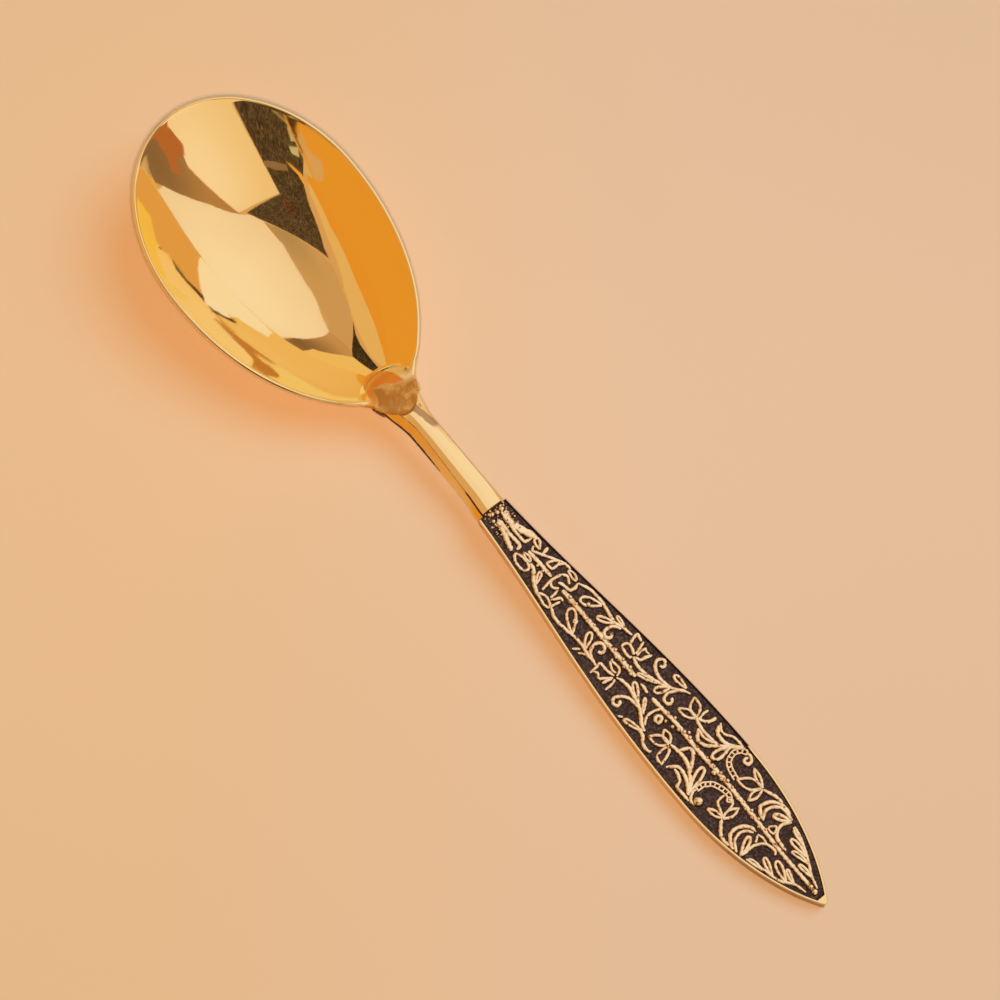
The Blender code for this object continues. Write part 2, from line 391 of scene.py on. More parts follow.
@dataclass(frozen=True)
class PolishedBrass:
    """Buffed sheet brass that dulls to brown where the bowl's heel was heated, with a painted orange reflection on the
    fold before the tongue.
    """

    name: str = "polished_sheet_brass"
    colour: Colour = (0.93, 0.69, 0.30)
    heel_colour: Colour = (0.66, 0.34, 0.07)
    heel_bright: Colour = (0.86, 0.54, 0.15)
    fold_reflection_colour: Colour = (0.92, 0.42, 0.05)
    tarnish: Colour = (0.80, 0.50, 0.17)
    roughness: float = 0.035
    heel_roughness: float = 0.28
    roll_roughness: float = 0.45
    fold_roughness: float = 0.34
    wave: float = 0.004

    def material(self, effects: SharedEffects) -> Material:
        """Build the material.

        Args:
            effects: Shared shader groups.

        Returns:
            The material, which reads the point values heel, fold and roll.
        """
        metal = Surface(self.name)
        place = metal.place()
        streaks = effects.use(metal, effects.buffing, Scale=520.0)
        stain = effects.use(metal, effects.tarnish, Scale=55.0, Cover=0.38)
        patchy = metal.span(metal.noise(place, 260.0, 3.0), 0.3, 0.6, 0.85, 1.0)
        dull = metal.times(metal.attribute("heel"), patchy)
        tint = metal.mix(metal.times(stain, 0.10), self.colour, self.tarnish)
        # Painted reflection: the fold's base colour turns orange for the orange it reflects.
        tint = metal.mix(metal.times(metal.attribute("fold"), 0.9), tint, self.fold_reflection_colour)
        mottled = metal.mix(metal.span(metal.noise(place, 480.0, 3.0), 0.45, 0.68), self.heel_colour, self.heel_bright)
        metal.feed("Base Color", metal.mix(dull, tint, mottled))
        base = metal.times_plus(streaks, 0.03, self.roughness)
        base = metal.times_plus(metal.attribute("roll"), self.roll_roughness, base)
        base = metal.times_plus(metal.attribute("fold"), self.fold_roughness, base)
        rough = metal.times_plus(dull, self.heel_roughness, base)
        metal.feed("Roughness", rough)
        waves = metal.noise(place, 420.0, 1.0)
        grain = metal.times(metal.noise(place, 1500.0, 3.0), metal.times(dull, 0.6))
        height = metal.math("ADD", waves, metal.math("ADD", metal.times(streaks, 0.05), grain))
        metal.bump(height, 1.0, self.wave * MM)
        return metal.material


@dataclass(frozen=True)
class CastBrass:
    """Cast brass, filed and rubbed bright on its edges, with pits and a partly painted orange reflection on its sides,
    and black patina in its recesses with painted shade under the stem.
    """

    name: str = "cast_brass"
    colour: Colour = (0.93, 0.69, 0.30)
    side_skin_and_reflection_colour: Colour = (0.86, 0.45, 0.09)
    leaf_side_dark_colour: Colour = (0.24, 0.115, 0.045)
    stain_colour: Colour = (0.40, 0.20, 0.08)
    pit_colour: Colour = (0.10, 0.05, 0.02)
    black: Colour = (0.11, 0.045, 0.020)
    roughness: float = 0.08

    def material(self, effects: SharedEffects) -> Material:
        """Build the material.

        Args:
            effects: Shared shader groups.

        Returns:
            The material, which reads the point values patina, side, soot and stain.
        """
        metal = Surface(self.name)
        place = metal.place()
        pits = effects.use(metal, effects.pits, Scale=420.0, Amount=0.16)
        clouds = effects.use(metal, effects.tarnish, Scale=180.0, Cover=0.5)
        streaks = effects.use(metal, effects.buffing, Scale=700.0)
        side = metal.attribute("side")
        pits = metal.times(pits, metal.span(side, 0.6, 0.95))
        worn = metal.times_plus(metal.noise(place, 700.0, 4.0), 0.5, -0.25)
        patina_and_shade = metal.span(metal.math("ADD", metal.attribute("patina_and_shade"), worn), 0.35, 0.65)
        stain = metal.span(metal.math("ADD", metal.attribute("stain"), worn), 0.3, 0.8)
        sides = metal.times(side, metal.times_plus(clouds, 0.4, 0.5))
        # Partly painted reflection: the sides take an orange, more saturated than the brass, for the orange floor they
        # reflect.
        tint = metal.mix(sides, self.colour, self.side_skin_and_reflection_colour)
        # Darker brown on the leaf's sides and back, most towards the tip.
        tint = metal.mix(metal.times(metal.attribute("leaf_side_dark"), 0.9), tint, self.leaf_side_dark_colour)
        tint = metal.mix(metal.times(stain, 0.8), tint, self.stain_colour)
        tint = metal.mix(metal.times(pits, 0.9), tint, self.pit_colour)
        # Black patina in the tray, and painted shade under the stem.
        metal.feed("Base Color", metal.mix(patina_and_shade, tint, self.black))
        rough = metal.times_plus(streaks, 0.06, self.roughness)
        rough = metal.times_plus(side, 0.14, rough)
        rough = metal.times_plus(metal.math("MAXIMUM", patina_and_shade, stain), 0.25, rough)
        metal.feed("Roughness", rough)
        skin = metal.times(metal.noise(place, 520.0, 4.0), metal.times_plus(side, 0.5, 0.12))
        height = metal.math("SUBTRACT", skin, metal.times(pits, 1.2))
        height = metal.times_plus(streaks, 0.02, height)
        metal.bump(height, 0.9, 0.08 * MM)
        return metal.material


@dataclass(frozen=True)
class BlackenedGround:
    """Matted ground of the relief, blackened with a purple cast and a little worn."""

    name: str = "blackened_ground"
    deep: Colour = (0.030, 0.012, 0.006)
    worn: Colour = (0.115, 0.068, 0.052)
    stain: Colour = (0.07, 0.04, 0.025)
    metallic: float = 0.6
    roughness: float = 0.42

    def material(self, effects: SharedEffects) -> Material:
        """Build the material.

        Args:
            effects: Shared shader groups.

        Returns:
            The material.
        """
        metal = Surface(self.name)
        place = metal.place()
        grain = metal.noise(place, 1700.0, 3.0)
        stain = effects.use(metal, effects.tarnish, Scale=300.0, Cover=0.45)
        tint = metal.mix(metal.span(grain, 0.44, 0.70), self.deep, self.worn)
        tint = metal.mix(metal.times(stain, 0.35), tint, self.stain)
        metal.feed("Base Color", tint)
        metal.feed("Metallic", self.metallic)
        metal.feed("Roughness", self.roughness)
        metal.bump(grain, 0.8, 0.12 * MM)
        return metal.material


@dataclass(frozen=True)
class GiltRidge:
    """Relief rubbed bright on its crowns, brown on its flanks and black at its feet, partly left unrubbed and partly
    painted shade.
    """

    name: str = "rubbed_relief"
    colour: Colour = (0.97, 0.79, 0.475)
    tarnish: Colour = (0.80, 0.50, 0.20)
    flank: Colour = (0.55, 0.30, 0.115)
    black: Colour = (0.040, 0.014, 0.005)
    roughness: float = 0.24

    def material(self, effects: SharedEffects) -> Material:
        """Build the material.

        Args:
            effects: Shared shader groups.

        Returns:
            The material, which reads the point value rise.
        """
        metal = Surface(self.name)
        place = metal.place()
        worn = metal.times_plus(metal.noise(place, 1100.0, 3.0), 0.65, -0.325)
        stain = effects.use(metal, effects.tarnish, Scale=220.0, Cover=0.4)
        nicks = effects.use(metal, effects.pits, Scale=1000.0, Amount=0.3)
        rise = metal.math("ADD", metal.attribute("rise"), worn)
        rise = metal.times_plus(nicks, -0.2, rise)
        tint = metal.mix(metal.times(stain, 0.35), self.colour, self.tarnish)
        # Partly painted shade: the flanks go brown and the feet black, where shade falls beside a ridge.
        tint = metal.mix(metal.span(rise, 0.79, 0.99), self.flank, tint)
        metal.feed("Base Color", metal.mix(metal.span(rise, 0.56, 0.84), self.black, tint))
        metal.feed("Roughness", metal.times_plus(worn, 0.2, self.roughness))
        metal.bump(worn, 0.5, 0.05 * MM)
        return metal.material


@dataclass(frozen=True)
class BurntBraze:
    """Porous brown braze, burnt dark in its hollows."""

    name: str = "burnt_braze"
    colour: Colour = (0.42, 0.22, 0.09)
    bright: Colour = (0.85, 0.50, 0.16)
    dark: Colour = (0.05, 0.025, 0.02)
    roughness: float = 0.45

    def material(self, effects: SharedEffects) -> Material:
        """Build the material.

        Args:
            effects: Shared shader groups.

        Returns:
            The material, which reads the point value burnt.
        """
        metal = Surface(self.name)
        grain = metal.noise(metal.place(), 1600.0, 4.0)
        pits = effects.use(metal, effects.pits, Scale=1800.0, Amount=0.5)
        tint = metal.mix(metal.span(grain, 0.4, 0.6), self.dark, self.colour)
        tint = metal.mix(pits, tint, self.dark)
        metal.feed("Base Color", metal.mix(metal.attribute("burnt"), self.bright, tint))
        metal.feed("Roughness", self.roughness)
        metal.bump(grain, 1.0, 0.2 * MM)
        return metal.material


# Lines of the spoon


@dataclass(frozen=True)
class SpoonLine:
    """Lines that several pieces share, with the sizes of the solid model."""

    tip_y: float = -116.4 * MM
    neck_y: float = 34.6 * MM
    tip_height: float = 4.0 * MM
    neck_height: float = 12.4 * MM
    leaf_slope: float = 0.022
    rise_start: float = -57.0 * MM
    rise_end: float = 28.0 * MM
    sheet: float = 1.0 * MM
    seat_gap: float = 0.3 * MM
    leaf_root: float = -0.2 * MM
    leaf_widest: float = -79.5 * MM
    leaf_half: float = 10.16 * MM
    leaf_root_half: float = 3.96 * MM
    tip_half: float = 0.3 * MM
    tip_round: float = 0.47 * MM
    tip_fullness: float = 23.4 * MM
    body_fullness: float = 33.5 * MM
    root_spread: float = 1.93 * MM
    root_fullness: float = 29.2 * MM
    leaf_rim: float = 0.5 * MM
    fine_rim: float = 0.22 * MM
    bright_edge_end: float = -78.4 * MM
    edge_blend: float = 3.0 * MM
    lean: float = -0.33 * MM
    lean_run: float = 6.0 * MM
    tray_depth: float = 1.5 * MM
    ground_depth: float = 0.55 * MM

    def handle_top(self, y: Array | float) -> Array:
        """Height of the handle's upper edge.

        Args:
            y: Places along the spoon.

        Returns:
            Height at each place.
        """
        straight = self.leaf_slope * (np.asarray(y, float) - self.tip_y)
        rise = self.neck_height - self.tip_height - self.leaf_slope * (self.neck_y - self.tip_y)
        return self.tip_height + straight + rise * smooth_ramp(y, self.rise_start, self.rise_end)

    def leaf_edge(self) -> Array:
        """Draw the right edge of the leaf in plan.

        Returns:
            Points from the tip to the root, one per row.
        """
        widest = (self.leaf_half, self.leaf_widest)
        tip = [(self.tip_half, self.tip_y), (self.tip_half + self.tip_round, self.tip_y)]
        tip += [(self.leaf_half, self.leaf_widest - self.tip_fullness), widest]
        body = [widest, (self.leaf_half, self.leaf_widest + self.body_fullness)]
        body += [(self.leaf_root_half + self.root_spread, self.leaf_root - self.root_fullness)]
        body += [(self.leaf_root_half, self.leaf_root)]
        return np.vstack([bezier(tip, 120), bezier(body, 160)[1:]])

    def leaf_half_width(self, y: Array | float) -> Array:
        """Half-width of the leaf at places along the spoon."""
        edge = self.leaf_edge()
        return np.interp(y, edge[:, 1], edge[:, 0])

    def middle(self, y: Array | float) -> Array:
        """How far the handle's middle lies beside the bowl's middle at places along the spoon."""
        return self.lean * (1 - smooth_ramp(y, self.leaf_root, self.leaf_root + self.lean_run))

    def rim_width(self, y: Array | float, side: int) -> Array:
        """Width of the leaf's raised edge on its left side (-1) or its right side (1)."""
        fine = smooth_ramp(y, self.bright_edge_end - self.edge_blend, self.bright_edge_end + self.edge_blend)
        return self.leaf_rim + (self.fine_rim - self.leaf_rim) * fine * (side > 0)

    def tray_wall(self, y: float, side: int) -> float:
        """Where the tray's left wall (-1) or right wall (1) stands across the spoon."""
        inner = float(self.leaf_half_width(y) - self.rim_width(y, side))
        return side * inner + float(self.middle(y))


# Bowl


@dataclass
class Bowl:
    """Raised sheet bowl with its rolled rim and the flat tongue at its heel."""

    line: SpoonLine
    half_width: float = 25.72 * MM
    far_length: float = 33.87 * MM
    widest_y: float = 81.8 * MM
    flank_fullness: float = 34.4 * MM
    neck_half: float = 5.4 * MM
    neck_spread: float = 4.1 * MM
    neck_angle: float = math.radians(18)
    dish_fullness: float = 32.0 * MM
    heel_fullness: float = 7.5 * MM
    rim_slope: float = 0.158
    floor_y: float = 70.0 * MM
    wall_power: float = 2.45
    tongue_length: float = 4.9 * MM
    tongue_radius: float = 4.25 * MM
    tongue_reach: float = 3.4 * MM
    tongue_roll: float = 5.0 * MM
    tongue_side: float = 0.38
    tongue_blunt: float = 0.6
    dull_edge: tuple[Spot, ...] = (
        (-6.5, 34.0), (-5.0, 35.3), (-3.9, 36.6), (-3.3, 39.2), (-2.3, 38.4), (-0.4, 37.7), (1.3, 36.4), (2.7, 36.0),
        (4.9, 34.9)
    )
    fold_edge: tuple[Spot, ...] = (
        (-5.4, 36.0), (-4.6, 39.7), (-3.5, 41.8), (-2.1, 42.9), (-0.4, 43.0), (1.1, 42.2), (1.9, 41.0), (2.5, 39.2),
        (3.2, 36.8), (3.7, 34.6)
    )
    roll_corner: Spot = (3.6, 39.3)
    left_rim_dulling: float = 0.5
    rings: int = 104
    rim_steps: int = 7
    finish: PolishedBrass = PolishedBrass()

    def __post_init__(self) -> None:
        """Work out how far the dish reaches in each direction from its lowest point, evened out a little."""
        dish = [(self.half_width, self.widest_y), (self.half_width, self.widest_y - self.dish_fullness)]
        dish += [(self.heel_fullness, self.line.neck_y), (0.0, self.line.neck_y)]
        right = np.vstack([self.far_half(400), bezier(dish, 500)])
        turns = np.arctan2(right[:, 0], self.floor_y - right[:, 1])[::-1]
        reaches = np.hypot(right[:, 0], self.floor_y - right[:, 1])[::-1]
        self.turns = np.linspace(-math.pi, math.pi, 1441)
        plain = np.interp(np.abs(self.turns), turns, reaches)
        spread = np.arange(-24, 25)
        weights = np.exp(-((spread / 10.0) ** 2))
        rolled = [w * np.roll(plain[:-1], s) for s, w in zip(spread, weights)]
        smooth = np.sum(rolled, axis=0) / weights.sum()
        self.reaches = np.append(smooth, smooth[0])

    def far_half(self, steps: int) -> Array:
        """Right half of the far end of the rim in plan, short of the widest place."""
        turn = np.linspace(0, math.pi / 2, steps, endpoint=False)
        return np.stack([self.half_width * np.sin(turn), self.widest_y + self.far_length * np.cos(turn)], 1)

    def rim_plan(self) -> Array:
        """Draw the whole rim with the tongue in plan.

        Returns:
            Points from the far end round the right side, one per row.
        """
        neck = self.line.neck_y
        sway, run = math.sin(self.neck_angle), math.cos(self.neck_angle)
        flank = [(self.half_width, self.widest_y), (self.half_width, self.widest_y - self.flank_fullness)]
        flank += [(self.neck_half + self.neck_spread * sway, neck + self.neck_spread * run), (self.neck_half, neck)]
        end, side = neck - self.tongue_length, self.tongue_length * self.tongue_side
        tongue = [(self.neck_half, neck), (self.neck_half - side * sway, neck - side * run)]
        tongue += [(self.tongue_radius * self.tongue_blunt, end), (0.0, end)]
        right = np.vstack([self.far_half(84), bezier(flank, 84), bezier(tongue, 26)[1:]])
        left = right[1:-1][::-1] * (-1, 1)
        return np.vstack([right, left])

    def heel(self, x: Array, y: Array) -> Array:
        """How far places belong to the flat tongue.

        Args:
            x: Places across the spoon.
            y: Places along the spoon.

        Returns:
            Share at each place, from 0 to 1.
        """
        inner_end = self.line.neck_y + self.tongue_reach - self.tongue_radius
        outside = np.hypot(x, np.maximum(0.0, y - inner_end)) - self.tongue_radius
        return 1 - smooth_ramp(outside, 0, self.tongue_roll)

    def dull_end(self, x: Array) -> Array:
        """Where the dull brown of the tongue ends towards the dish."""
        places = np.array(self.dull_edge) * MM
        return np.interp(x, places[:, 0], places[:, 1])

    def fold(self, x: Array, y: Array) -> Array:
        """How far places lie on the fold between the tongue and the dish, which takes a painted orange reflection.

        Args:
            x: Places across the spoon.
            y: Places along the spoon.

        Returns:
            Share at each place, from 0 to 1.
        """
        places = np.array(self.fold_edge) * MM
        far = np.interp(x, places[:, 0], places[:, 1])
        near = self.dull_end(x)
        return smooth_ramp(y, near - 0.3 * MM, near + 0.4 * MM) * (1 - smooth_ramp(y, far + 0.2 * MM, far + 0.9 * MM))

    def inside(self, x: Array, y: Array) -> Array:
        """Height of the inner face.

        Args:
            x: Places across the spoon.
            y: Places along the spoon.

        Returns:
            Height at each place.
        """
        turn = np.arctan2(x, self.floor_y - y)
        reach = np.interp(turn, self.turns, self.reaches)
        rim = self.line.neck_height + self.rim_slope * (self.floor_y - reach * np.cos(turn) - self.line.neck_y)
        share = np.minimum(1.0, np.hypot(x, self.floor_y - y) / reach)
        dish = self.line.sheet + (rim - self.line.sheet) * share**self.wall_power
        return dish + (self.line.neck_height - dish) * self.heel(x, y)

    def build(self) -> Piece:
        """Build the shell: inner face, round edge, outer face.

        Returns:
            The bowl with the point values heel, fold and roll, which mark the dull tongue and what leads to it.
        """
        plan = self.rim_plan()
        shares = np.linspace(0, 1, self.rings + 1)[1:, None]
        x = plan[None, :, 0] * shares
        y = self.floor_y + (plan[None, :, 1] - self.floor_y) * shares
        inner = np.stack([x, y, self.inside(x, y)], -1)
        along = np.roll(inner, -1, 1) - np.roll(inner, 1, 1)
        outwards = np.gradient(inner, axis=0)
        normal = unit(np.cross(along, outwards))
        normal *= np.sign(normal[..., 2:3])
        outer = inner - normal * self.line.sheet
        rim_normal, rim = normal[-1], inner[-1]
        away = unit(np.cross(along[-1], rim_normal))
        away *= np.sign(np.sum(away * outwards[-1], -1, keepdims=True))
        half = self.line.sheet / 2
        arc = []
        for turn in np.linspace(0, math.pi, self.rim_steps + 2)[1:-1]:
            arc.append(rim - rim_normal * half + half * (rim_normal * math.cos(turn) + away * math.sin(turn)))
        loops = np.concatenate([inner, np.array(arc), outer[::-1]])
        floor = np.array([0.0, self.floor_y, self.line.sheet])
        mesh = shell_mesh("bowl_shell", loops, floor, floor - (0, 0, self.line.sheet))
        for name, values in self.marks(loops[..., 0], loops[..., 1]).items():
            point_values(mesh, name, np.append(values.ravel(), [0.0, 0.0]))
        return add_piece("bowl_shell", mesh)

    def marks(self, x: Array, y: Array) -> dict[str, Array]:
        """Where the bowl is dulled, folded or rolled.

        Args:
            x: Places of the shell's loops across the spoon.
            y: Places of the shell's loops along the spoon.

        Returns:
            Point values by name, from 0 to 1.
        """
        end = self.dull_end(x)
        heel = 1 - smooth_ramp(y, end - 0.9 * MM, end + 0.7 * MM)
        edge = slice(self.rings, self.rings + self.rim_steps)
        # Dulls the left rim edge near the neck to the heel's brown.
        left_rim_dull = self.left_rim_dulling * (x[edge] < 0) * (1 - smooth_ramp(y[edge], 40 * MM, 44 * MM))
        heel[edge] = np.maximum(heel[edge], left_rim_dull)
        heel[edge.stop :] *= 0.3
        spot_x, spot_y = self.roll_corner
        corner = 1 - smooth_ramp(np.hypot(x - spot_x * MM, y - spot_y * MM), 0.8 * MM, 3.4 * MM)
        roll = np.maximum(self.heel(x, y - 1.0 * MM) ** 2, corner)
        return {"heel": heel, "fold": self.fold(x, y), "roll": roll}

    def dress(self, piece: Piece, effects: SharedEffects) -> None:
        """Give the bowl its finish and tie it to the frame."""
        piece.data.materials.append(self.finish.material(effects))
        settle(piece, Slot.BOWL, "bowl")


# Handle


def fillet_path(corners: Array, radii: list[float], steps: int) -> Array:
    """Round the inner corners of a path.

    Args:
        corners: Corner points, one per row.
        radii: How far each rounding reaches along both legs, one for each inner corner.
        steps: Steps in each rounding.

    Returns:
        Points of the path with its two ends.
    """
    points = [corners[0]]
    t = np.linspace(0, 1, steps + 1)[:, None]
    for before, corner, after, radius in zip(corners, corners[1:], corners[2:], radii):
        back, ahead = before - corner, after - corner
        start = corner + back * min(0.48, radius / max(np.linalg.norm(back), 1e-9))
        end = corner + ahead * min(0.48, radius / max(np.linalg.norm(ahead), 1e-9))
        points += list(start * (1 - t) ** 2 + 2 * corner * t * (1 - t) + end * t * t)
    points.append(corners[-1])
    return np.array(points)


@dataclass
class Handle:
    """Cast handle: leaf with a raised edge round its tray, stem, and the saddle under the bowl's heel."""

    line: SpoonLine
    bowl: Bowl
    thickness: float = 4.0 * MM
    back_round: float = 0.8 * MM
    edge_round: float = 0.16 * MM
    tray_tip_half: float = 1.0 * MM
    stem_top_half: float = 3.2 * MM
    stem_half: float = 3.5 * MM
    stem_depth: float = 4.7 * MM
    stem_round: float = 1.2 * MM
    stem_crown: float = 0.4 * MM
    facet: float = 0.75
    flank_root: float = 0.85 * MM
    flank_neck: float = 1.7 * MM
    saddle_top_half: float = 4.75 * MM
    saddle_half: float = 5.0 * MM
    saddle_spread: float = 10.0 * MM
    saddle_reach: float = 11.0 * MM
    saddle_end_height: float = 3.1 * MM
    seam: float = 0.06 * MM
    corner_steps: int = 5
    finish: CastBrass = CastBrass()

    def tray_tip(self) -> float:
        """Where the tray's pointed end stops short of the leaf's tip."""
        edge = self.line.leaf_edge()
        return float(edge[edge[:, 0] - self.line.leaf_rim > self.tray_tip_half][0, 1])

    def leaf_section(self, y: float, side: int) -> Array:
        """Draw half of the leaf's section.

        Args:
            y: Place along the spoon.
            side: Left (-1) or right (1) half.

        Returns:
            Points from the middle of the face to the middle of the back.
        """
        half = float(self.line.leaf_half_width(y))
        top = float(self.line.handle_top(y))
        back = top - self.thickness
        sunk = float(smooth_ramp(y, self.tray_tip(), self.tray_tip() + 0.25 * MM))
        inner = max(half - float(self.line.rim_width(y, side)), half * 0.35)
        floor = top - self.line.tray_depth * sunk
        corners = [(0, floor), (inner * 0.3, floor), (inner * 0.6, floor), (inner - 0.12 * MM * sunk, floor)]
        corners += [(inner, top), (half, top), (half, top - 0.8 * MM), (half, back), (0, back)]
        edge = min(self.edge_round, half * 0.2)
        seam = 0.05 * MM
        radii = [seam, seam, seam, 0.08 * MM, edge, 0.3 * MM, min(self.back_round, half * 0.5)]
        return fillet_path(np.array(corners), radii, self.corner_steps)

    def flank(self, y: float) -> float:
        """How far the stem's upper left edge is filed back at a place, to nothing under the bowl."""
        cut = self.flank_root + (self.flank_neck - self.flank_root) * smooth_ramp(y, 2 * MM, 26 * MM)
        return float(cut * (1 - smooth_ramp(y, self.line.neck_y - 1 * MM, self.line.neck_y + 4 * MM)))

    def stem_section(self, y: float, side: int) -> Array:
        """Draw half of the stem's or saddle's section.

        Args:
            y: Place along the spoon.
            side: Left (-1) or right (1) half.

        Returns:
            Points from the middle of the top to the middle of the back.
        """
        line = self.line
        spread = float(smooth_ramp(y, line.neck_y - self.saddle_spread, line.neck_y + 0.5 * MM))
        upper = self.stem_top_half + (self.saddle_top_half - self.stem_top_half) * spread
        lower = self.stem_half + (self.saddle_half - self.stem_half) * spread
        root = 1 - float(smooth_ramp(y, line.leaf_root, line.leaf_root + self.saddle_spread))
        lower += (line.leaf_root_half - self.stem_half) * root
        depth = self.stem_depth + (self.thickness - self.stem_depth) * root
        top = float(line.handle_top(y)) - line.sheet - line.seat_gap
        back = float(line.handle_top(y)) - depth
        crown = self.stem_crown * (1 - spread)
        past = max(0.0, (y - line.neck_y) / self.saddle_reach)
        if past > 0:
            round_end = math.sqrt(max(0.06, 1 - past**2))
            upper, lower = upper * round_end, lower * round_end
            top = min(top, self.under_bowl(0.0, y))
            back += (self.saddle_end_height - back) * past**1.5
        rounding = min(self.stem_round, (top - back) * 0.4)
        cut = self.flank(y) if side < 0 else 0.0
        ridge, outer = upper * (1 - self.facet) - 0.35 * cut, upper - cut
        slope = (crown + 0.03 * MM) / (upper * self.facet)
        corners = [(x, top + crown - slope * max(0.0, x - ridge)) for x in (0.0, *np.linspace(ridge, outer, 4))]
        if past > 0:
            corners = [(x, min(z, self.under_bowl(x, y))) for x, z in corners]
        corners += [((outer + lower) / 2, (corners[-1][1] + back + rounding) / 2)]
        corners += [(lower, back + rounding), (lower - rounding * 0.7, back), (0, back)]
        radii = [0.15 * MM, 0.2 * MM, 0.2 * MM, 0.35 * MM, 0.3 * MM, 0.5 * MM, 0.4 * MM]
        return fillet_path(np.array(corners), radii, self.corner_steps)

    def under_bowl(self, x: float, y: float) -> float:
        """Find the bowl's outer face over the saddle.

        Args:
            x: Place across the spoon.
            y: Place along the spoon.

        Returns:
            Height of the face, less the seam of braze.
        """
        nudge, drop = 0.05 * MM, self.line.sheet + self.seam
        across, along = x, y
        for _ in range(16):
            here = float(self.bowl.inside(across, along))
            slope_x = (float(self.bowl.inside(across + nudge, along)) - here) / nudge
            slope_y = (float(self.bowl.inside(across, along + nudge)) - here) / nudge
            length = math.sqrt(1 + slope_x**2 + slope_y**2)
            across += 0.5 * (x - drop * slope_x / length - across)
            along += 0.5 * (y - drop * slope_y / length - along)
        return here - drop / length

    def stations(self) -> list[tuple[float, Array, Array]]:
        """Draw all sections from the leaf's tip to the saddle's end.

        Returns:
            Place of each section with its right and its left half.
        """
        line = self.line
        edge_y = line.leaf_edge()[:, 1]
        tip = self.tray_tip()
        places = list(edge_y[edge_y < line.leaf_root - 0.4 * MM]) + list(tip + np.linspace(0.02, 0.3, 8) * MM)
        places = sorted(places) + [line.leaf_root - 0.25 * MM]
        sections = [(y, self.leaf_section(y, 1), self.leaf_section(y, -1)) for y in places]
        for y in np.linspace(line.leaf_root, line.neck_y + self.saddle_reach, 150):
            sections.append((float(y), self.stem_section(float(y), 1), self.stem_section(float(y), -1)))
        return sections

    def build(self) -> Piece:
        """Build the handle as one closed casting.

        Returns:
            The handle with the point values patina, side, soot and stain.
        """
        loops = []
        for y, right, left in self.stations():
            ring = np.vstack([right, left[1:-1][::-1] * (-1, 1)])
            across = ring[:, 0] + float(self.line.middle(y))
            loops.append(np.stack([across, np.full(len(ring), y), ring[:, 1]], 1))
        loops = np.array(loops)
        mesh = shell_mesh("handle_cast", loops, loops[0].mean(0), loops[-1].mean(0))
        for name, values in self.marks(loops).items():
            point_values(mesh, name, np.append(values.ravel(), [0.0, 0.0]))
        mesh.set_sharp_from_angle(angle=math.radians(50))
        return add_piece("handle_cast", mesh)

    def marks(self, loops: Array) -> dict[str, Array]:
        """Where the handle is black with patina and painted shade, bare cast on its sides with a partly painted orange
        reflection, darker on the leaf's sides, and stained behind the tongue.

        Args:
            loops: Points of the handle as loop, place in the loop, axis.

        Returns:
            Point values by name, from 0 to 1.
        """
        line = self.line
        x, y, z = loops[..., 0], loops[..., 1], loops[..., 2]
        x = x - line.middle(y)
        top = line.handle_top(y)
        on_leaf = y < line.leaf_root - 0.1 * MM
        patina_and_shade = self.leaf_black(x, y, z, on_leaf)
        # The side mask marks the bare cast skin: pits, roughness, and an orange that is partly painted reflection.
        skin_start = np.where(on_leaf, 0.3, np.where(x < 0, 1.22, 1.7)) * MM
        side = np.where(z < top - skin_start, np.where(on_leaf, 1.0, 0.45), 0.0) * (patina_and_shade < 0.5)
        side = np.maximum(side, self.right_corner_orange(x, y, z, on_leaf))
        # Painted shade: dark lines under the stem join the black patina.
        patina_and_shade = np.where(on_leaf, patina_and_shade, np.maximum(patina_and_shade, self.stem_painted_shade(y, z)))
        # Darker on the leaf's sides and back, most towards the tip.
        tipwards = 1 - smooth_ramp(y, line.tip_y + 18 * MM, line.tip_y + 40 * MM)
        leaf_side_dark = np.where(on_leaf & (z < top - 0.3 * MM), 0.3 + 0.7 * tipwards, 0.0)
        return {"patina_and_shade": patina_and_shade, "side": side, "leaf_side_dark": leaf_side_dark, "stain": self.tongue_streak(x, y, z)}

    def leaf_black(self, x: Array, y: Array, z: Array, on_leaf: Array) -> Array:
        """Black in the tray, on the far part of the leaf's right edge, and on the step at its root.

        Args:
            x: Places across the handle, from its middle.
            y: Places along the spoon.
            z: Heights.
            on_leaf: Which places lie on the leaf.

        Returns:
            Share at each place, from 0 to 1.
        """
        line, top = self.line, self.line.handle_top(y)
        rim = np.where(x > 0, line.rim_width(y, 1), line.rim_width(y, -1))
        in_tray = on_leaf & (np.abs(x) < line.leaf_half_width(y) - 0.3 * rim)
        in_tray &= (z < top - 0.12 * MM) & (z > top - self.thickness * 0.6)
        right_edge = on_leaf & (x > 0) & (z > top - 0.45 * MM)
        edge_black = smooth_ramp(y, line.bright_edge_end - 0.4 * MM, line.bright_edge_end + 0.4 * MM)
        step = (np.abs(y - line.leaf_root) < 0.5 * MM) & (z > top - 1.4 * MM)
        return np.maximum(np.where(in_tray | step, 1.0, 0.0), np.where(right_edge, edge_black, 0.0))

    def right_corner_orange(self, x: Array, y: Array, z: Array, on_leaf: Array) -> Array:
        """Orange along the stem's filed right corner, and towards the bowl also beside it, partly a painted
        reflection.
        """
        filed = ~on_leaf & (x > 2.5 * MM) & (z > self.line.handle_top(y) - 1.7 * MM)
        return np.where(filed, np.where(x > 3.05 * MM, 1.0, 0.8 * smooth_ramp(y, 12 * MM, 22 * MM)), 0.0)

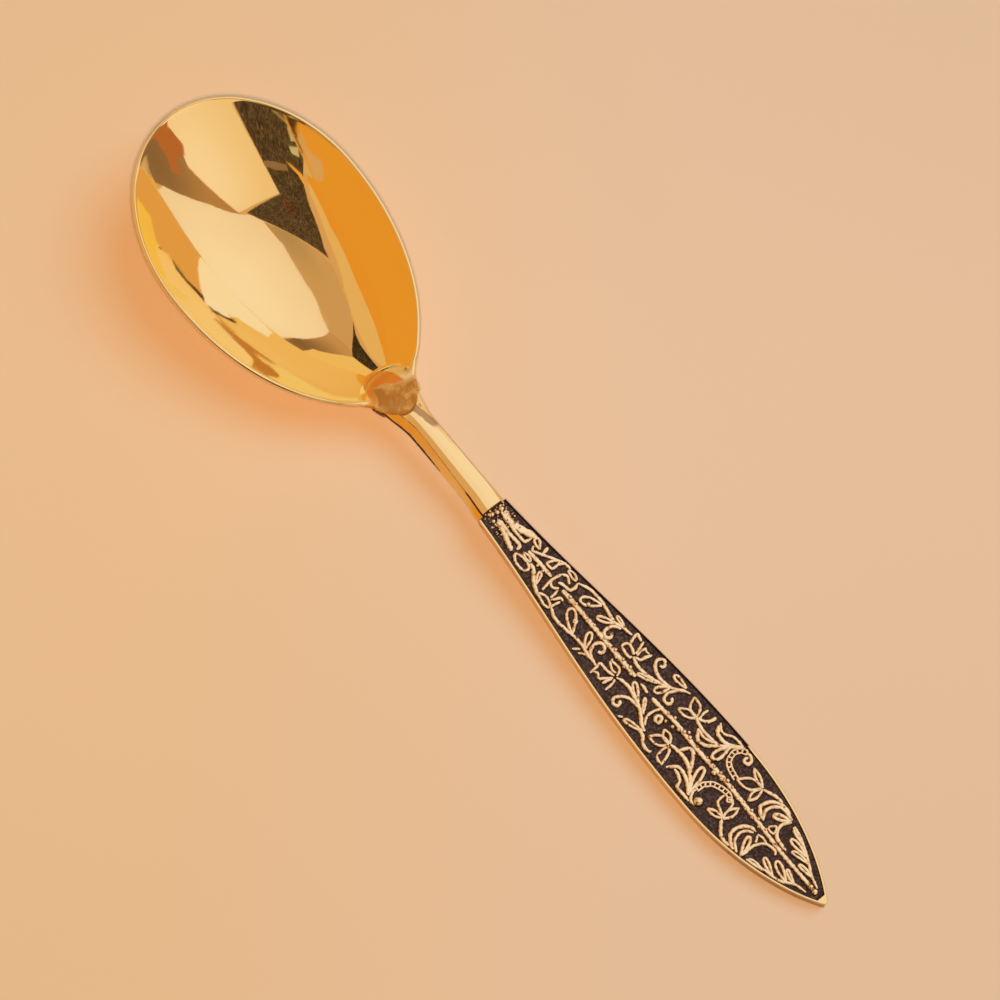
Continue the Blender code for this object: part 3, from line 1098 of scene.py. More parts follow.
    def tongue_streak(self, x: Array, y: Array, z: Array) -> Array:
        """Brown streak on the stem behind the tongue, leaning to the right.

        Args:
            x: Places across the handle, from its middle.
            y: Places along the spoon.
            z: Heights.

        Returns:
            Share at each place, from 0 to 1.
        """
        tongue_end = self.line.neck_y - self.bowl.tongue_length
        behind = smooth_ramp(y, tongue_end - 8.8 * MM, tongue_end - 5.2 * MM)
        leaning = x - 0.18 * (tongue_end - y)
        streak = behind * smooth_ramp(leaning, 0.2 * MM, 0.8 * MM) * (1 - smooth_ramp(leaning, 1.9 * MM, 2.5 * MM))
        return streak * (z > self.line.handle_top(y) - 1.75 * MM)

    def stem_painted_shade(self, y: Array, z: Array) -> Array:
        """Painted shade under the stem: dark lines along both feet of its section, and on the ledge beside its left
        flank.

        Args:
            y: Places along the spoon.
            z: Heights.

        Returns:
            Share at each place, from 0 to 1.
        """
        back = self.line.handle_top(y) - self.stem_depth
        shade_lines = np.where((z < back + 0.5 * MM) & (z > back + 0.02 * MM), 0.7, 0.0)
        around, span = y.shape[1], self.corner_steps + 1
        foot = 5 * span + 1 + np.arange(span)
        foot = np.append(foot, around - foot)
        ledge = around - (3 * span + 1 + np.arange(1, span - 1))
        shade_lines[:, foot] = np.maximum(shade_lines[:, foot], 0.72 * smooth_ramp(y[:, foot], 6 * MM, 20 * MM))
        leafwards = 1 - smooth_ramp(y[:, ledge], 4 * MM, 11 * MM)
        shade_lines[:, ledge] = np.maximum(shade_lines[:, ledge], 0.75 * leafwards)
        return shade_lines

    def dress(self, piece: Piece, effects: SharedEffects) -> None:
        """Give the handle its finish and tie it to the frame."""
        piece.data.materials.append(self.finish.material(effects))
        settle(piece, Slot.HANDLE, "handle_bar")


# Trees that raise the relief


class ShapeTree(Graph):
    """A geometry tree with named inputs, applied to one object at a time."""

    def __init__(self, name: str, inputs: dict[str, float]) -> None:
        """Start the tree.

        Args:
            name: Name of the tree.
            inputs: Default of each named size.
        """
        super().__init__(bpy.data.node_groups.new(name, "GeometryNodeTree"))
        face = self.tree.interface
        face.new_socket(name="Geometry", in_out="INPUT", socket_type="NodeSocketGeometry")
        self.keys = {}
        for key, value in inputs.items():
            socket = face.new_socket(name=key, in_out="INPUT", socket_type="NodeSocketFloat")
            socket.default_value = value
            self.keys[key] = socket.identifier
        material = face.new_socket(name="Material", in_out="INPUT", socket_type="NodeSocketMaterial")
        self.keys["Material"] = material.identifier
        face.new_socket(name="Geometry", in_out="OUTPUT", socket_type="NodeSocketGeometry")
        self.given = self.add("NodeGroupInput").outputs

    def axes(self) -> bpy.types.NodeOutputs:
        """The three coordinates of each point."""
        place = self.one("GeometryNodeInputPosition")
        return self.add("ShaderNodeSeparateXYZ", {0: place}).outputs

    def keep_rise(self, geometry: Socket, rise: Socket) -> Socket:
        """Store how far each point lies up a ridge or bead, which the finish reads."""
        inputs = {"Geometry": geometry, "Name": "rise", "Value": rise}
        return self.one("GeometryNodeStoreNamedAttribute", inputs, data_type="FLOAT", domain="POINT")

    def value(self, name: str) -> Socket:
        """Read a stored point value."""
        return self.one("GeometryNodeInputNamedAttribute", {"Name": name}, data_type="FLOAT")

    def close(self, geometry: Socket) -> None:
        """End the tree with plain geometry in the chosen material.

        Args:
            geometry: What the tree has made.
        """
        smooth = self.one("GeometryNodeSetShadeSmooth", {"Geometry": geometry})
        real = self.one("GeometryNodeRealizeInstances", {"Geometry": smooth})
        inputs = {"Geometry": real, "Material": self.given["Material"]}
        dressed = self.one("GeometryNodeSetMaterial", inputs)
        self.add("NodeGroupOutput", {"Geometry": dressed})

    def apply(self, name: str, source: Piece, material: Material, **sizes: float) -> Piece:
        """Run the tree on an object and keep the result as a plain mesh.

        Args:
            name: Name of the new piece.
            source: Object that the tree reads, which is removed afterwards.
            material: Material of the result.
            sizes: Values for the named inputs.

        Returns:
            The new piece.
        """
        modifier = source.modifiers.new(name, "NODES")
        modifier.node_group = self.tree
        modifier[self.keys["Material"]] = material
        for key, value in sizes.items():
            modifier[self.keys[key]] = value
        ready = source.evaluated_get(bpy.context.evaluated_depsgraph_get())
        mesh = bpy.data.meshes.new_from_object(ready)
        mesh.name = name
        source.modifiers.clear()
        bpy.data.objects.remove(source, do_unlink=True)
        outward(mesh)
        mesh.materials.clear()
        mesh.materials.append(material)
        return add_piece(name, mesh)


def ridge_tree() -> ShapeTree:
    """Sweep a flat-footed ridge of even height along flat curves, as wide as their radius.

    Returns:
        The tree, with the inputs Height and Foot.
    """
    tree = ShapeTree("ridge", {"Height": 0.45 * MM, "Foot": 0.2 * MM})
    circle = tree.one("GeometryNodeCurvePrimitiveCircle", {"Resolution": 14, "Radius": 1.0})
    across, up, _ = tree.axes()
    wide = tree.times(tree.math("SIGN", across), tree.math("POWER", tree.math("ABSOLUTE", across), 0.8))
    crown = tree.math("POWER", tree.math("MAXIMUM", up, 0.0), 0.75)
    below = tree.math("LESS_THAN", up, -0.01)
    marked = tree.keep_rise(circle, tree.math("SUBTRACT", crown, below))
    flat = tree.one("ShaderNodeCombineXYZ", {0: wide})
    profile = tree.one("GeometryNodeSetPosition", {"Geometry": marked, "Position": flat})
    level = tree.one("GeometryNodeSetCurveNormal", {"Curve": tree.given["Geometry"]}, mode="Z_UP")
    width = tree.one("GeometryNodeInputRadius")
    inputs = {"Curve": level, "Profile Curve": profile, "Scale": width, "Fill Caps": True}
    sweep = tree.one("GeometryNodeCurveToMesh", inputs)
    kept = tree.value("rise")
    lift = tree.times(tree.math("MAXIMUM", kept, 0.0), tree.given["Height"])
    drop = tree.times(tree.math("MINIMUM", kept, 0.0), tree.given["Foot"])
    offset = tree.one("ShaderNodeCombineXYZ", {2: tree.math("ADD", lift, drop)})
    raised = tree.one("GeometryNodeSetPosition", {"Geometry": sweep, "Offset": offset})
    tree.close(raised)
    return tree


def stud_tree() -> ShapeTree:
    """Set a small flattened bead on each point, as large as the point's own size.

    Returns:
        The tree, with the input Flatness.
    """
    tree = ShapeTree("studs", {"Flatness": 0.6})
    bead = tree.one("GeometryNodeMeshUVSphere", {"Segments": 10, "Rings": 6, "Radius": 1.0})
    marked = tree.keep_rise(bead, tree.math("POWER", tree.math("MAXIMUM", tree.axes()[2], 0.0), 0.35))
    points = tree.one("GeometryNodeMeshToPoints", {"Mesh": tree.given["Geometry"]})
    size = tree.value("size")
    odd = tree.add("FunctionNodeRandomValue", {2: 0.8, 3: 1.2, "Seed": 5}, data_type="FLOAT").outputs[1]
    tall = tree.times(size, tree.given["Flatness"])
    scale = tree.one("ShaderNodeCombineXYZ", {0: size, 1: tree.times(size, odd), 2: tall})
    turn = tree.add("FunctionNodeRandomValue", {2: 0.0, 3: 3.1, "Seed": 9}, data_type="FLOAT").outputs[1]
    spin = tree.one("ShaderNodeCombineXYZ", {2: turn})
    inputs = {"Points": points, "Instance": marked, "Rotation": spin, "Scale": scale}
    placed = tree.one("GeometryNodeInstanceOnPoints", inputs)
    tree.close(placed)
    return tree


def matting_tree() -> ShapeTree:
    """Roughen the marked face of a plate with the small blows of a matting punch.

    Returns:
        The tree, with the inputs Depth and Scale.
    """
    tree = ShapeTree("matting", {"Depth": 0.07 * MM, "Scale": 900.0})
    place = tree.one("GeometryNodeInputPosition")
    blows = tree.math("SUBTRACT", tree.noise(place, tree.given["Scale"]), 0.5)
    depth = tree.times(tree.times(blows, 2.0), tree.given["Depth"])
    offset = tree.one("ShaderNodeCombineXYZ", {2: tree.times(depth, tree.value("face"))})
    inputs = {"Geometry": tree.given["Geometry"], "Offset": offset}
    moved = tree.one("GeometryNodeSetPosition", inputs)
    tree.close(moved)
    return tree


# Relief


@dataclass
class ReliefGround:
    """Matted plate that lies in the leaf's tray and carries the scrolls."""

    line: SpoonLine
    handle: Handle
    rows: int = 420
    columns: int = 60
    matting: float = 0.05 * MM
    edge_gap: float = 0.13 * MM
    finish: BlackenedGround = BlackenedGround()

    def build(self, tree: ShapeTree, effects: SharedEffects) -> Piece:
        """Build the plate.

        Args:
            tree: Tree that mats its face.
            effects: Shared shader groups.

        Returns:
            The plate.
        """
        line = self.line
        start = self.handle.tray_tip() + 0.55 * MM
        loops = []
        for y in np.linspace(start, line.leaf_root - line.seat_gap, self.rows):
            left, right = line.tray_wall(y, -1) + self.edge_gap, line.tray_wall(y, 1) - self.edge_gap
            face = float(line.handle_top(y)) - line.ground_depth
            ring = [(x, y, face) for x in np.linspace(left, right, self.columns)]
            under = face + line.ground_depth - line.tray_depth + line.seat_gap
            ring += [(right, y, (under + face) / 2), (right, y, under)]
            ring += [(left, y, under), (left, y, (under + face) / 2)]
            loops.append(ring)
        loops = np.array(loops)
        mesh = shell_mesh("relief_ground", loops, loops[0].mean(0), loops[-1].mean(0))
        level = loops[..., 2] > line.handle_top(loops[..., 1]) - line.ground_depth - 1e-6
        inside = np.zeros_like(level)
        inside[1:-1, 1 : self.columns - 1] = True
        point_values(mesh, "face", np.append((level & inside).astype(float).ravel(), [0.0, 0.0]))
        source = add_piece("relief_ground_source", mesh)
        return tree.apply("relief_ground", source, self.finish.material(effects), Depth=self.matting)

    def dress(self, piece: Piece) -> None:
        """Tie the plate to the frame; its tree has set the finish."""
        piece.data.set_sharp_from_angle(angle=math.radians(60))
        settle(piece, Slot.RELIEF, "relief_plate")


@dataclass(frozen=True)
class Stroke:
    """One ridge on the flat drawing: where it runs and how wide it is, in millimetres."""

    points: Array
    widths: Array

    @classmethod
    def even(cls, points: Array, width: float) -> "Stroke":
        """A ridge of one width."""
        return cls(points, np.full(len(points), width))


def through_points(knots: Array | tuple[Spot, ...], closed: bool = False, spacing: float = 0.22) -> Array:
    """Run a smooth line through points on the drawing.

    Args:
        knots: Points to pass, one per row.
        closed: Whether the line comes back to its start.
        spacing: Distance between the points of the result.

    Returns:
        Evenly spaced points.
    """
    knots = np.asarray(knots, float)
    if closed:
        padded = np.vstack([knots[-1], knots, knots[0], knots[1]])
    else:
        padded = np.vstack([2 * knots[0] - knots[1], knots, 2 * knots[-1] - knots[-2]])
    fine = []
    t = np.linspace(0, 1, 12, endpoint=False)[:, None]
    for a, b, c, d in zip(padded, padded[1:], padded[2:], padded[3:]):
        fine.append(b + 0.5 * t * (c - a + t * (2 * a - 5 * b + 4 * c - d + t * (3 * (b - c) + d - a))))
    fine = np.vstack(fine + [padded[-2][None]])
    run = np.append(0, np.cumsum(np.linalg.norm(np.diff(fine, axis=0), axis=1)))
    count = max(3, int(run[-1] / spacing) + 1)
    even = np.linspace(0, run[-1], count)
    return np.stack([np.interp(even, run, fine[:, k]) for k in (0, 1)], 1)


@dataclass(frozen=True)
class Stem:
    """Ridge through points, which thins towards its ends."""

    knots: tuple[Spot, ...]
    width: float = 0.62
    start: float = 0.6
    end: float = 0.6

    def strokes(self) -> list[Stroke]:
        """Draw the ridge.

        Returns:
            One stroke.
        """
        points = through_points(self.knots)
        share = np.linspace(0, 1, len(points))
        swell = np.minimum(1.0, np.minimum(self.start + share * 4, self.end + (1 - share) * 4))
        return [Stroke(points, self.width * swell)]


@dataclass(frozen=True)
class Loop:
    """Closed ridge round a hollow."""

    knots: tuple[Spot, ...]
    width: float = 0.5

    def strokes(self) -> list[Stroke]:
        """The ridge, closed on itself."""
        return [Stroke.even(through_points(self.knots, closed=True), self.width)]


@dataclass(frozen=True)
class Leaf:
    """Drop-shaped leaf or pointed petal: a ridge from its stalk round its far end and back."""

    base: Spot
    tip: Spot
    wide: float
    sway: float = 0.0
    width: float = 0.5
    blunt: float = 1.3
    pointed: bool = False

    def strokes(self) -> list[Stroke]:
        """Draw the outline, inwards by half the ridge's width.

        Returns:
            One stroke.
        """
        base, tip = np.array(self.base), np.array(self.tip)
        axis = tip - base
        length = float(np.hypot(*axis))
        ahead = axis / length
        across = np.array([-ahead[1], ahead[0]])
        turn = np.linspace(0.25, 2 * math.pi - 0.25, 25)
        share = (1 - np.cos(turn)) / 2
        bulge = np.sin(turn) * np.abs(np.sin(turn / 2)) ** self.blunt
        if self.pointed:
            bulge = np.sign(np.sin(turn)) * np.sin(math.pi * share)
        half = max(0.15, (self.wide - self.width) / 2)
        side = half * bulge / np.max(bulge) + self.sway * np.sin(math.pi * share * 0.9)
        reach = share * (length - self.width / 2)
        outline = base + ahead * reach[:, None] + across * side[:, None]
        return [Stroke.even(through_points(outline), self.width)]


@dataclass(frozen=True)
class Curl:
    """Tendril that runs through points and then winds in round a centre."""

    knots: tuple[Spot, ...]
    centre: Spot
    turns: float = 0.75
    width: float = 0.62

    def strokes(self) -> list[Stroke]:
        """Draw the tendril, which swells into its eye.

        Returns:
            One stroke.
        """
        knots, centre = np.array(self.knots), np.array(self.centre)
        arm, ahead = knots[-1] - centre, knots[-1] - knots[-2]
        way = 1.0 if arm[0] * ahead[1] - arm[1] * ahead[0] > 0 else -1.0
        first = math.atan2(arm[1], arm[0])
        steps = np.linspace(0, 1, 12)[1:]
        reach = float(np.hypot(*arm)) * (1 - 0.62 * steps)
        turn = first + way * 2 * math.pi * self.turns * steps
        coil = centre + np.stack([np.cos(turn), np.sin(turn)], 1) * reach[:, None]
        points = through_points(np.vstack([knots, coil]))
        share = np.linspace(0, 1, len(points))
        return [Stroke(points, self.width * np.minimum(1.0, 0.6 + share * 3))]


@dataclass(frozen=True)
class Ring:
    """Small round eye."""

    centre: Spot
    radius: float
    width: float = 0.55

    def strokes(self) -> list[Stroke]:
        """Draw the ring, closed on itself.

        Returns:
            One stroke.
        """
        turn = np.linspace(0, 2 * math.pi, 16)
        points = np.array(self.centre) + self.radius * np.stack([np.cos(turn), np.sin(turn)], 1)
        return [Stroke.even(points, self.width)]


@dataclass(frozen=True)
class Band:
    """Two ridges side by side with rungs between them, which leave a row of small hollows."""

    knots: tuple[Spot, ...]
    half: float = 0.5
    width: float = 0.36
    pitch: int = 5

    def strokes(self) -> list[Stroke]:
        """Draw the two ridges and the rungs.

        Returns:
            The strokes of both ridges, then of the rungs.
        """
        points = through_points(self.knots)
        ahead = unit(np.gradient(points, axis=0))
        across = np.stack([-ahead[:, 1], ahead[:, 0]], 1) * self.half
        lines = [points + across, points - across]
        for k in range(0, len(points), self.pitch):
            lines.append(np.linspace(points[k] - across[k], points[k] + across[k], 5))
        return [Stroke.even(line, self.width) for line in lines]


Motif = Stem | Loop | Leaf | Curl | Ring | Band


# Drawing of the scrolls


def blossom(base: Spot, *petals: tuple[Spot, float], fullness: float = 1.15) -> tuple[Motif, ...]:
    """Petals that spread from one base, each given by its tip and its width."""
    return tuple(Leaf(base, tip, wide * fullness, pointed=True) for tip, wide in petals)


RIB: tuple[Motif, ...] = (
    Stem(((-114.6, -0.3), (-108, -0.3), (-103, -0.3), (-99, -0.1), (-96, 0.1), (-93, 0.3)), 0.7, 0.9, 1.0),
    Stem(((-93, 0.3), (-90, 0.4), (-85, 0.6), (-80, 0.7), (-75, 0.5), (-70, 0.5)), 0.8, 1.0, 1.0),
    Stem(((-70, 0.5), (-65, 0.7), (-60, 0.4), (-57.2, 0.3)), 0.75, 1.0, 0.7),
    Stem(((-55.6, 0.2), (-54, 0.5), (-53, 0.4)), 0.55),
    Stem(((-51, 0.6), (-45, 0.6), (-38, 0.6), (-30, 0.6), (-25.3, 0.5)), 0.85, 0.7, 0.8),
    Stem(((-21.3, 0.5), (-17, 0.4), (-13.5, 0.2)), 0.75),
)

RIGHT_SIDE: tuple[Motif, ...] = (
    Stem(((-114, 0.6), (-111, 1.5), (-109, 2.6), (-107, 3.6), (-105, 4.4), (-103, 4.9), (-100.2, 5.9)), 0.5),
    Leaf((-111.5, 1.3), (-107.1, 0.9), 1.2, 0.1),
    Leaf((-108.5, 2.6), (-103.9, 1.6), 1.3, 0.25),
    Leaf((-107, 3.4), (-101.6, 3.3), 1.6, 0.1),
    Leaf((-105, 4.5), (-100, 5.6), 1.2, 0.0, 0.45),
    Stem(((-103, 0.8), (-101, 0.9), (-99.5, 1.2), (-98.5, 2.2), (-98, 3.5), (-98.3, 5), (-99, 6))),
    Loop(((-98.4, 1.4), (-97.5, 2.7), (-96.5, 1.3), (-97.5, 0.9)), 0.45),
    Leaf((-98.8, 6), (-95, 3.7), 1.7, 0.1, 0.6),
    Stem(((-98.7, 6.4), (-95.5, 6.5), (-94, 5.6), (-93.3, 4.3), (-93.3, 3), (-94.5, 1.3))),
    Stem(((-97.5, 6.9), (-95.5, 7), (-94, 6.6), (-92.5, 5.5), (-91.8, 4), (-91.9, 2.7), (-94, 1.4)), 0.65),
    Stem(((-94.3, 7.3), (-92, 7), (-90.5, 6.4), (-89.3, 6))),
    *blossom((-88.9, 6), ((-89, 1.5), 1.7), ((-83.5, 2.8), 2.6), ((-84, 7.6), 1.3)),
    Band(((-80.5, 8.6), (-79.2, 7.8), (-78.6, 6.5), (-78.9, 5), (-79.6, 4), (-81, 3.3), (-83.5, 2.8))),
    Curl(((-80.6, 8.7), (-81.6, 8.7), (-82.6, 8.1)), (-81.8, 7.5), 0.8, 0.6),
    Stem(((-79, 8.8), (-77, 8.8), (-75.5, 8.5), (-74.2, 7.6), (-73, 7.4), (-71.5, 8.5)), 0.5),
    Stem(((-78, 7.9), (-76.8, 6.9), (-75.7, 6.3), (-74, 6.2), (-72.5, 6.8), (-71.5, 8.5)), 0.7),
    Stem(((-79.5, 8.9), (-78.5, 8.3), (-77.3, 6.9), (-76.2, 5.8), (-75.3, 5), (-74.2, 4.6), (-70, 4.3), (-67, 5))),
    Leaf((-77, 6.6), (-76.4, 1.6), 2.4, 0.0, 0.6),
    Stem(((-75.5, 5.2), (-73.5, 2.8), (-72.3, 2.1), (-71, 2.1), (-69.2, 3.8)), 0.65),
    Stem(((-74, 4.3), (-71.5, 3.4), (-69.3, 3.8)), 0.5),
    *blossom((-67, 5), ((-63, 7.9), 2.4), ((-62.6, 3.2), 1.9)),
    Stem(((-67.3, 5.2), (-68.8, 5.9), (-69.6, 7), (-69.9, 8.5))),
    Stem(((-67.6, 5.6), (-67.3, 7), (-67.5, 8.3)), 0.5),
    Leaf((-60.5, 7.7), (-56.1, 7.6), 1.6),
    Curl((
        (-62, 7.6), (-60.5, 6.9), (-59.3, 5.9), (-57.8, 5), (-56, 4.7), (-54.5, 4.6), (-53, 5), (-51.8, 5.8),
        (-51.2, 6.7),
    ), (-52.5, 7)),
    Curl(((-59.5, 6.3), (-59.1, 5), (-58.6, 4), (-58.7, 3)), (-60, 3)),
    Leaf((-58, 5.2), (-56.1, 1.5), 1.9),
    Stem(((-58, 4.9), (-55, 3.6), (-53, 3), (-51, 2.6), (-49, 2.6), (-47.2, 3.2))),
    Leaf((-55.3, 3.4), (-50.5, 1.3), 1.2),
    Stem(((-47.5, 3.5), (-48.7, 3.9), (-49, 5.3), (-49.6, 6.7)), 0.55),
    Stem(((-47.5, 4), (-47.3, 5.4), (-47.5, 6.8)), 0.45),
    Stem(((-49, 6.4), (-48.3, 6.2), (-47.6, 6.5)), 0.4),
    Stem(((-47, 4), (-46.6, 5.5), (-46, 7.2)), 0.55),
    Stem(((-45.6, 6.9), (-44.5, 7.1), (-43.8, 7.4), (-43.7, 6.5), (-44.5, 4.2)), 0.55),
    Stem(((-46.9, 3.6), (-45.4, 4.2), (-44.2, 4.3), (-43.6, 3.6), (-43.6, 2.6)), 0.55),
    Stem(((-47, 3), (-46.3, 2.3), (-43.8, 2.6)), 0.55),
    Stem((
        (-43.2, 6.2), (-42, 5.9), (-40.8, 5.8), (-38.5, 5), (-37, 5.1), (-35, 5.5), (-33, 5.8), (-31, 5.7),
        (-29, 5.5), (-26.3, 4.3),
    )),
    Leaf((-41, 5.9), (-37.4, 6.4), 1.1, 0.0, 0.45),
    Curl(((-40.5, 5.1), (-39.3, 4.6), (-38.6, 3.7), (-38.4, 2.6)), (-39.7, 2.3)),
    Leaf((-38.6, 4.9), (-34.8, 2.5), 1.6),
    Leaf((-33.6, 5.3), (-29.2, 2.2), 2.4),
    Stem(((-26.2, 4.2), (-26.6, 3), (-26.3, 1.9), (-25.3, 1.5), (-24.2, 1.3), (-23.3, 0.9))),
    Stem(((-22.3, 2.7), (-23.5, 3.4), (-25.2, 2.6)), 0.5),
    Loop(((-25.5, 4.4), (-24.5, 5), (-23.3, 4.9), (-22.7, 4.4), (-24.8, 4)), 0.45),
    Stem(((-22.8, 4.9), (-21.5, 5.1), (-20.7, 4.8), (-20.1, 3.5)), 0.55),
    Stem(((-22.3, 2.7), (-22, 1.2), (-21.9, -0.3), (-22.3, -3)), 0.55),
    Loop(((-19.9, 4.1), (-20, 2), (-19, 1.6), (-18.2, 1.9), (-19, 3.6)), 0.5),
    Stem(((-20.5, 4.8), (-18, 3.3), (-15.8, 2), (-14, 0.9)), 0.55),
    Leaf((-16, 2.4), (-15.6, 4.3), 0.8, 0.0, 0.45),
    Leaf((-14.8, 2.4), (-12, 3.6), 1.7),
    Stem(((-15, 1.7), (-14, 1), (-13.2, 1.9)), 0.5),
    Stem(((-12.2, 3.6), (-11, 3.2), (-9, 2.3), (-6, 1.4), (-4.2, 1.5), (-3, 2.2)), 1.25, 0.5, 0.5),
    Stem(((-11.6, 2.8), (-11.3, 1.2), (-10.5, 0.8), (-6, 0.9), (-2.3, 1.3)), 0.6),
)

LEFT_SIDE: tuple[Motif, ...] = (
    Stem((
        (-113, -1.9), (-110, -2.7), (-107.5, -4.6), (-105.5, -5.3), (-103.5, -5.7), (-101.5, -6.6), (-98.8, -7.7),
    ), 0.5),
    Leaf((-110, -2.8), (-106.2, -1.7), 1.2, -0.1),
    Leaf((-108.5, -3.9), (-103.3, -2.3), 1.9),
    Leaf((-105.5, -5.3), (-100.9, -3.9), 1.5),
    Leaf((-103, -6.1), (-99, -7), 1.1, 0.2, 0.45),
    Stem((
        (-102.3, -1.7), (-101.5, -1.1), (-100, -1.3), (-98.8, -1.8), (-98, -2.9), (-97.5, -4.6), (-97.6, -7.2),
    ), 0.55),
    Stem(((-99, -1.5), (-97.5, -1.3), (-96.2, -1.7)), 0.5),
    Stem(((-97.3, -3.2), (-96.8, -2.4), (-96.3, -2.0)), 0.45),
    Leaf((-97.6, -7.8), (-95.3, -3.2), 1.8, 0.0, 0.6),
    Stem(((-95.3, -2.1), (-94, -3), (-93.4, -4.3), (-93.5, -5.5), (-94.3, -6.8), (-96.3, -8)), 0.55),
    Stem(((-95.5, -1.6), (-94, -1.8), (-92.8, -2.8), (-92.1, -4.2), (-92, -5.5), (-92.7, -6.8), (-95.3, -8.4)), 0.65),
    Stem(((-94, -8.6), (-92, -8.3), (-90.5, -7.7), (-88.3, -5.6))),
    *blossom((-88.4, -5.3), ((-89, -0.9), 1.8), ((-84.3, -6.6), 1.4)),
    Stem(((-88, -4.7), (-87.6, -2), (-86.8, -1), (-86, -1.5)), 0.5),
    Stem(((-84.6, -1.6), (-84.6, -2.8), (-84.9, -3.8), (-86.3, -4.4), (-88, -5)), 0.5),
    Band((
        (-86.5, -1.8), (-85.5, -0.9), (-84, -0.9), (-82.5, -1.3), (-81, -2), (-80.2, -3), (-79.7, -3.8),
        (-79.6, -5.6),
    )),
    Curl(((-79.6, -5.6), (-79.5, -6.6), (-80.2, -7.7)), (-81.5, -7.1), 0.5, 0.55),
    Leaf((-79, -7.3), (-76.7, -0.9), 2.2, 0.0, 0.6),
    Stem(((-79.5, -7.8), (-77.8, -6), (-76, -4.4), (-74.5, -3.6), (-73, -3.1), (-71, -3), (-68, -3.4)), 0.7),
    Stem(((-75.6, -4), (-73.7, -1.6), (-72.7, -0.7), (-71.4, -0.7), (-70.3, -2.7)), 0.65),
    Stem(((-79.3, -7.8), (-77.7, -6.5), (-76, -5.7), (-74.3, -5.3), (-72.8, -5.6), (-71.3, -7.5)), 0.65),
    Stem(((-80.5, -8.6), (-78.5, -8.6), (-76.5, -8.5), (-75.7, -7.2), (-74, -6.4), (-72.9, -6.4)), 0.6),
    *blossom((-67.8, -3.5), ((-64.3, -2.2), 1.9), ((-63.3, -6.1), 2.4)),
    Stem(((-68, -4), (-68.9, -4.5), (-69.6, -5.8), (-70.2, -8.1)), 0.55),
    Stem(((-67.9, -4.3), (-67.8, -5.8), (-68, -7.4)), 0.5),
    Stem(((-70, -7.9), (-69, -7.9), (-68, -7.5)), 0.5),
    Stem(((-66.5, -7.6), (-65.8, -8.3), (-63.8, -8), (-62.5, -6.9), (-60, -6.5)), 0.6),
    Ring((-61.8, -1.7), 0.75, 0.65),
    Stem(((-60.3, 0.3), (-59.7, -1.5), (-59.6, -3), (-60.3, -4.3), (-61, -5)), 0.5),
    Stem((
        (-62, -5.9), (-60.5, -5.5), (-59, -4.5), (-57.5, -3.5), (-56, -3), (-54, -2.5), (-52, -2.1), (-50, -2.3),
        (-48.5, -2.9),
    ), 0.65),
    Leaf((-56, -2.9), (-51.6, -0.3), 1.6),
    Leaf((-58.7, -3.7), (-56, -0.7), 1.0, 0.0, 0.45),
    Curl(((-57.5, -3.4), (-54.5, -3.6), (-53, -4.3), (-52.1, -5.2), (-51.7, -6.2)), (-52.9, -6.3)),
    Leaf((-61.8, -6.3), (-56.7, -7.8), 1.4),
    Stem(((-56.3, -7.5), (-55.8, -8.0), (-55.4, -8.3)), 0.4),
    Stem(((-48.2, -2.6), (-47.8, -1.5), (-47, -1), (-45, -1.2), (-44.5, -0.8)), 0.5),
    Stem(((-47.6, -2.2), (-46.5, -2.5), (-44.6, -1.6)), 0.45),
    Stem(((-47.8, -3), (-46, -3.5), (-43.6, -3.6), (-43.7, -4.5), (-43.8, -6.8)), 0.55),
    Stem(((-48, -3.5), (-47.2, -4.6), (-46.5, -5.5), (-46, -6.1), (-45, -5.5), (-44, -6)), 0.5),
    Stem(((-48.5, -3.4), (-48.9, -4.5), (-49, -6.6)), 0.5),
    Stem(((-48, -3.8), (-47.6, -5), (-47.4, -6.2)), 0.5),
    Stem((
        (-43.4, -4.7), (-42, -4.5), (-40.5, -4.6), (-39, -4.3), (-37.5, -4.1), (-35.5, -4.2), (-34, -4.5),
        (-32, -4.8), (-30, -5), (-28.5, -4.8), (-26.5, -3.9),
    )),
    Curl(((-42.5, -4.4), (-41, -4.2), (-40, -3.4), (-39.4, -2.2)), (-41, -1.6)),
    Leaf((-38.9, -4.3), (-36.6, -0.5), 1.8),
    Stem(((-40, -5), (-39.3, -5.3), (-38.6, -6)), 0.4),
    Stem(((-38.2, -5), (-37.6, -5.6), (-37, -6.4)), 0.4),
    Leaf((-34.5, -4.3), (-29.5, -0.5), 2.6),
    Ring((-32.6, -1.8), 0.4, 0.4),
    Stem(((-24.6, -0.3), (-24.8, -1.5), (-24.9, -2.7)), 0.5),
    Stem(((-24.4, 0.2), (-23.5, -0.8), (-22.5, -0.7), (-22, 0.2)), 0.5),
    Loop(((-26, -3.8), (-24, -3.3), (-22.3, -4.3), (-23.5, -4.6), (-25, -4.9), (-26.2, -4.6)), 0.5),
    Stem(((-27.3, -1), (-26.3, -1), (-25.8, -2), (-25.4, -3)), 0.5),
    Stem(((-27, -1.6), (-26.7, -2.7), (-26.5, -3.8)), 0.5),
    Stem(((-16, -1.2), (-17.5, -1.6), (-18.5, -2.4), (-20, -3.5), (-22.5, -4.6)), 0.7),
    Leaf((-20.4, -3.3), (-18.8, -0.5), 1.3),
    Loop(((-15.7, -1), (-14.5, -0.4), (-13, -0.9), (-14.5, -1.3)), 0.45),
    Loop(((-16.4, -2), (-16.2, -3.5), (-13.5, -3.6), (-12.1, -2.4), (-14, -1.7)), 0.5),
    Stem(((-11.5, -1.6), (-11.4, -0.7), (-10.5, -0.4), (-7.5, -0.6), (-4.5, -0.4), (-3.5, -0.7)), 0.7),
    Stem(((-11, -2.7), (-8.5, -1.9), (-5.5, -1.1), (-3.8, -0.8)), 0.9),
)

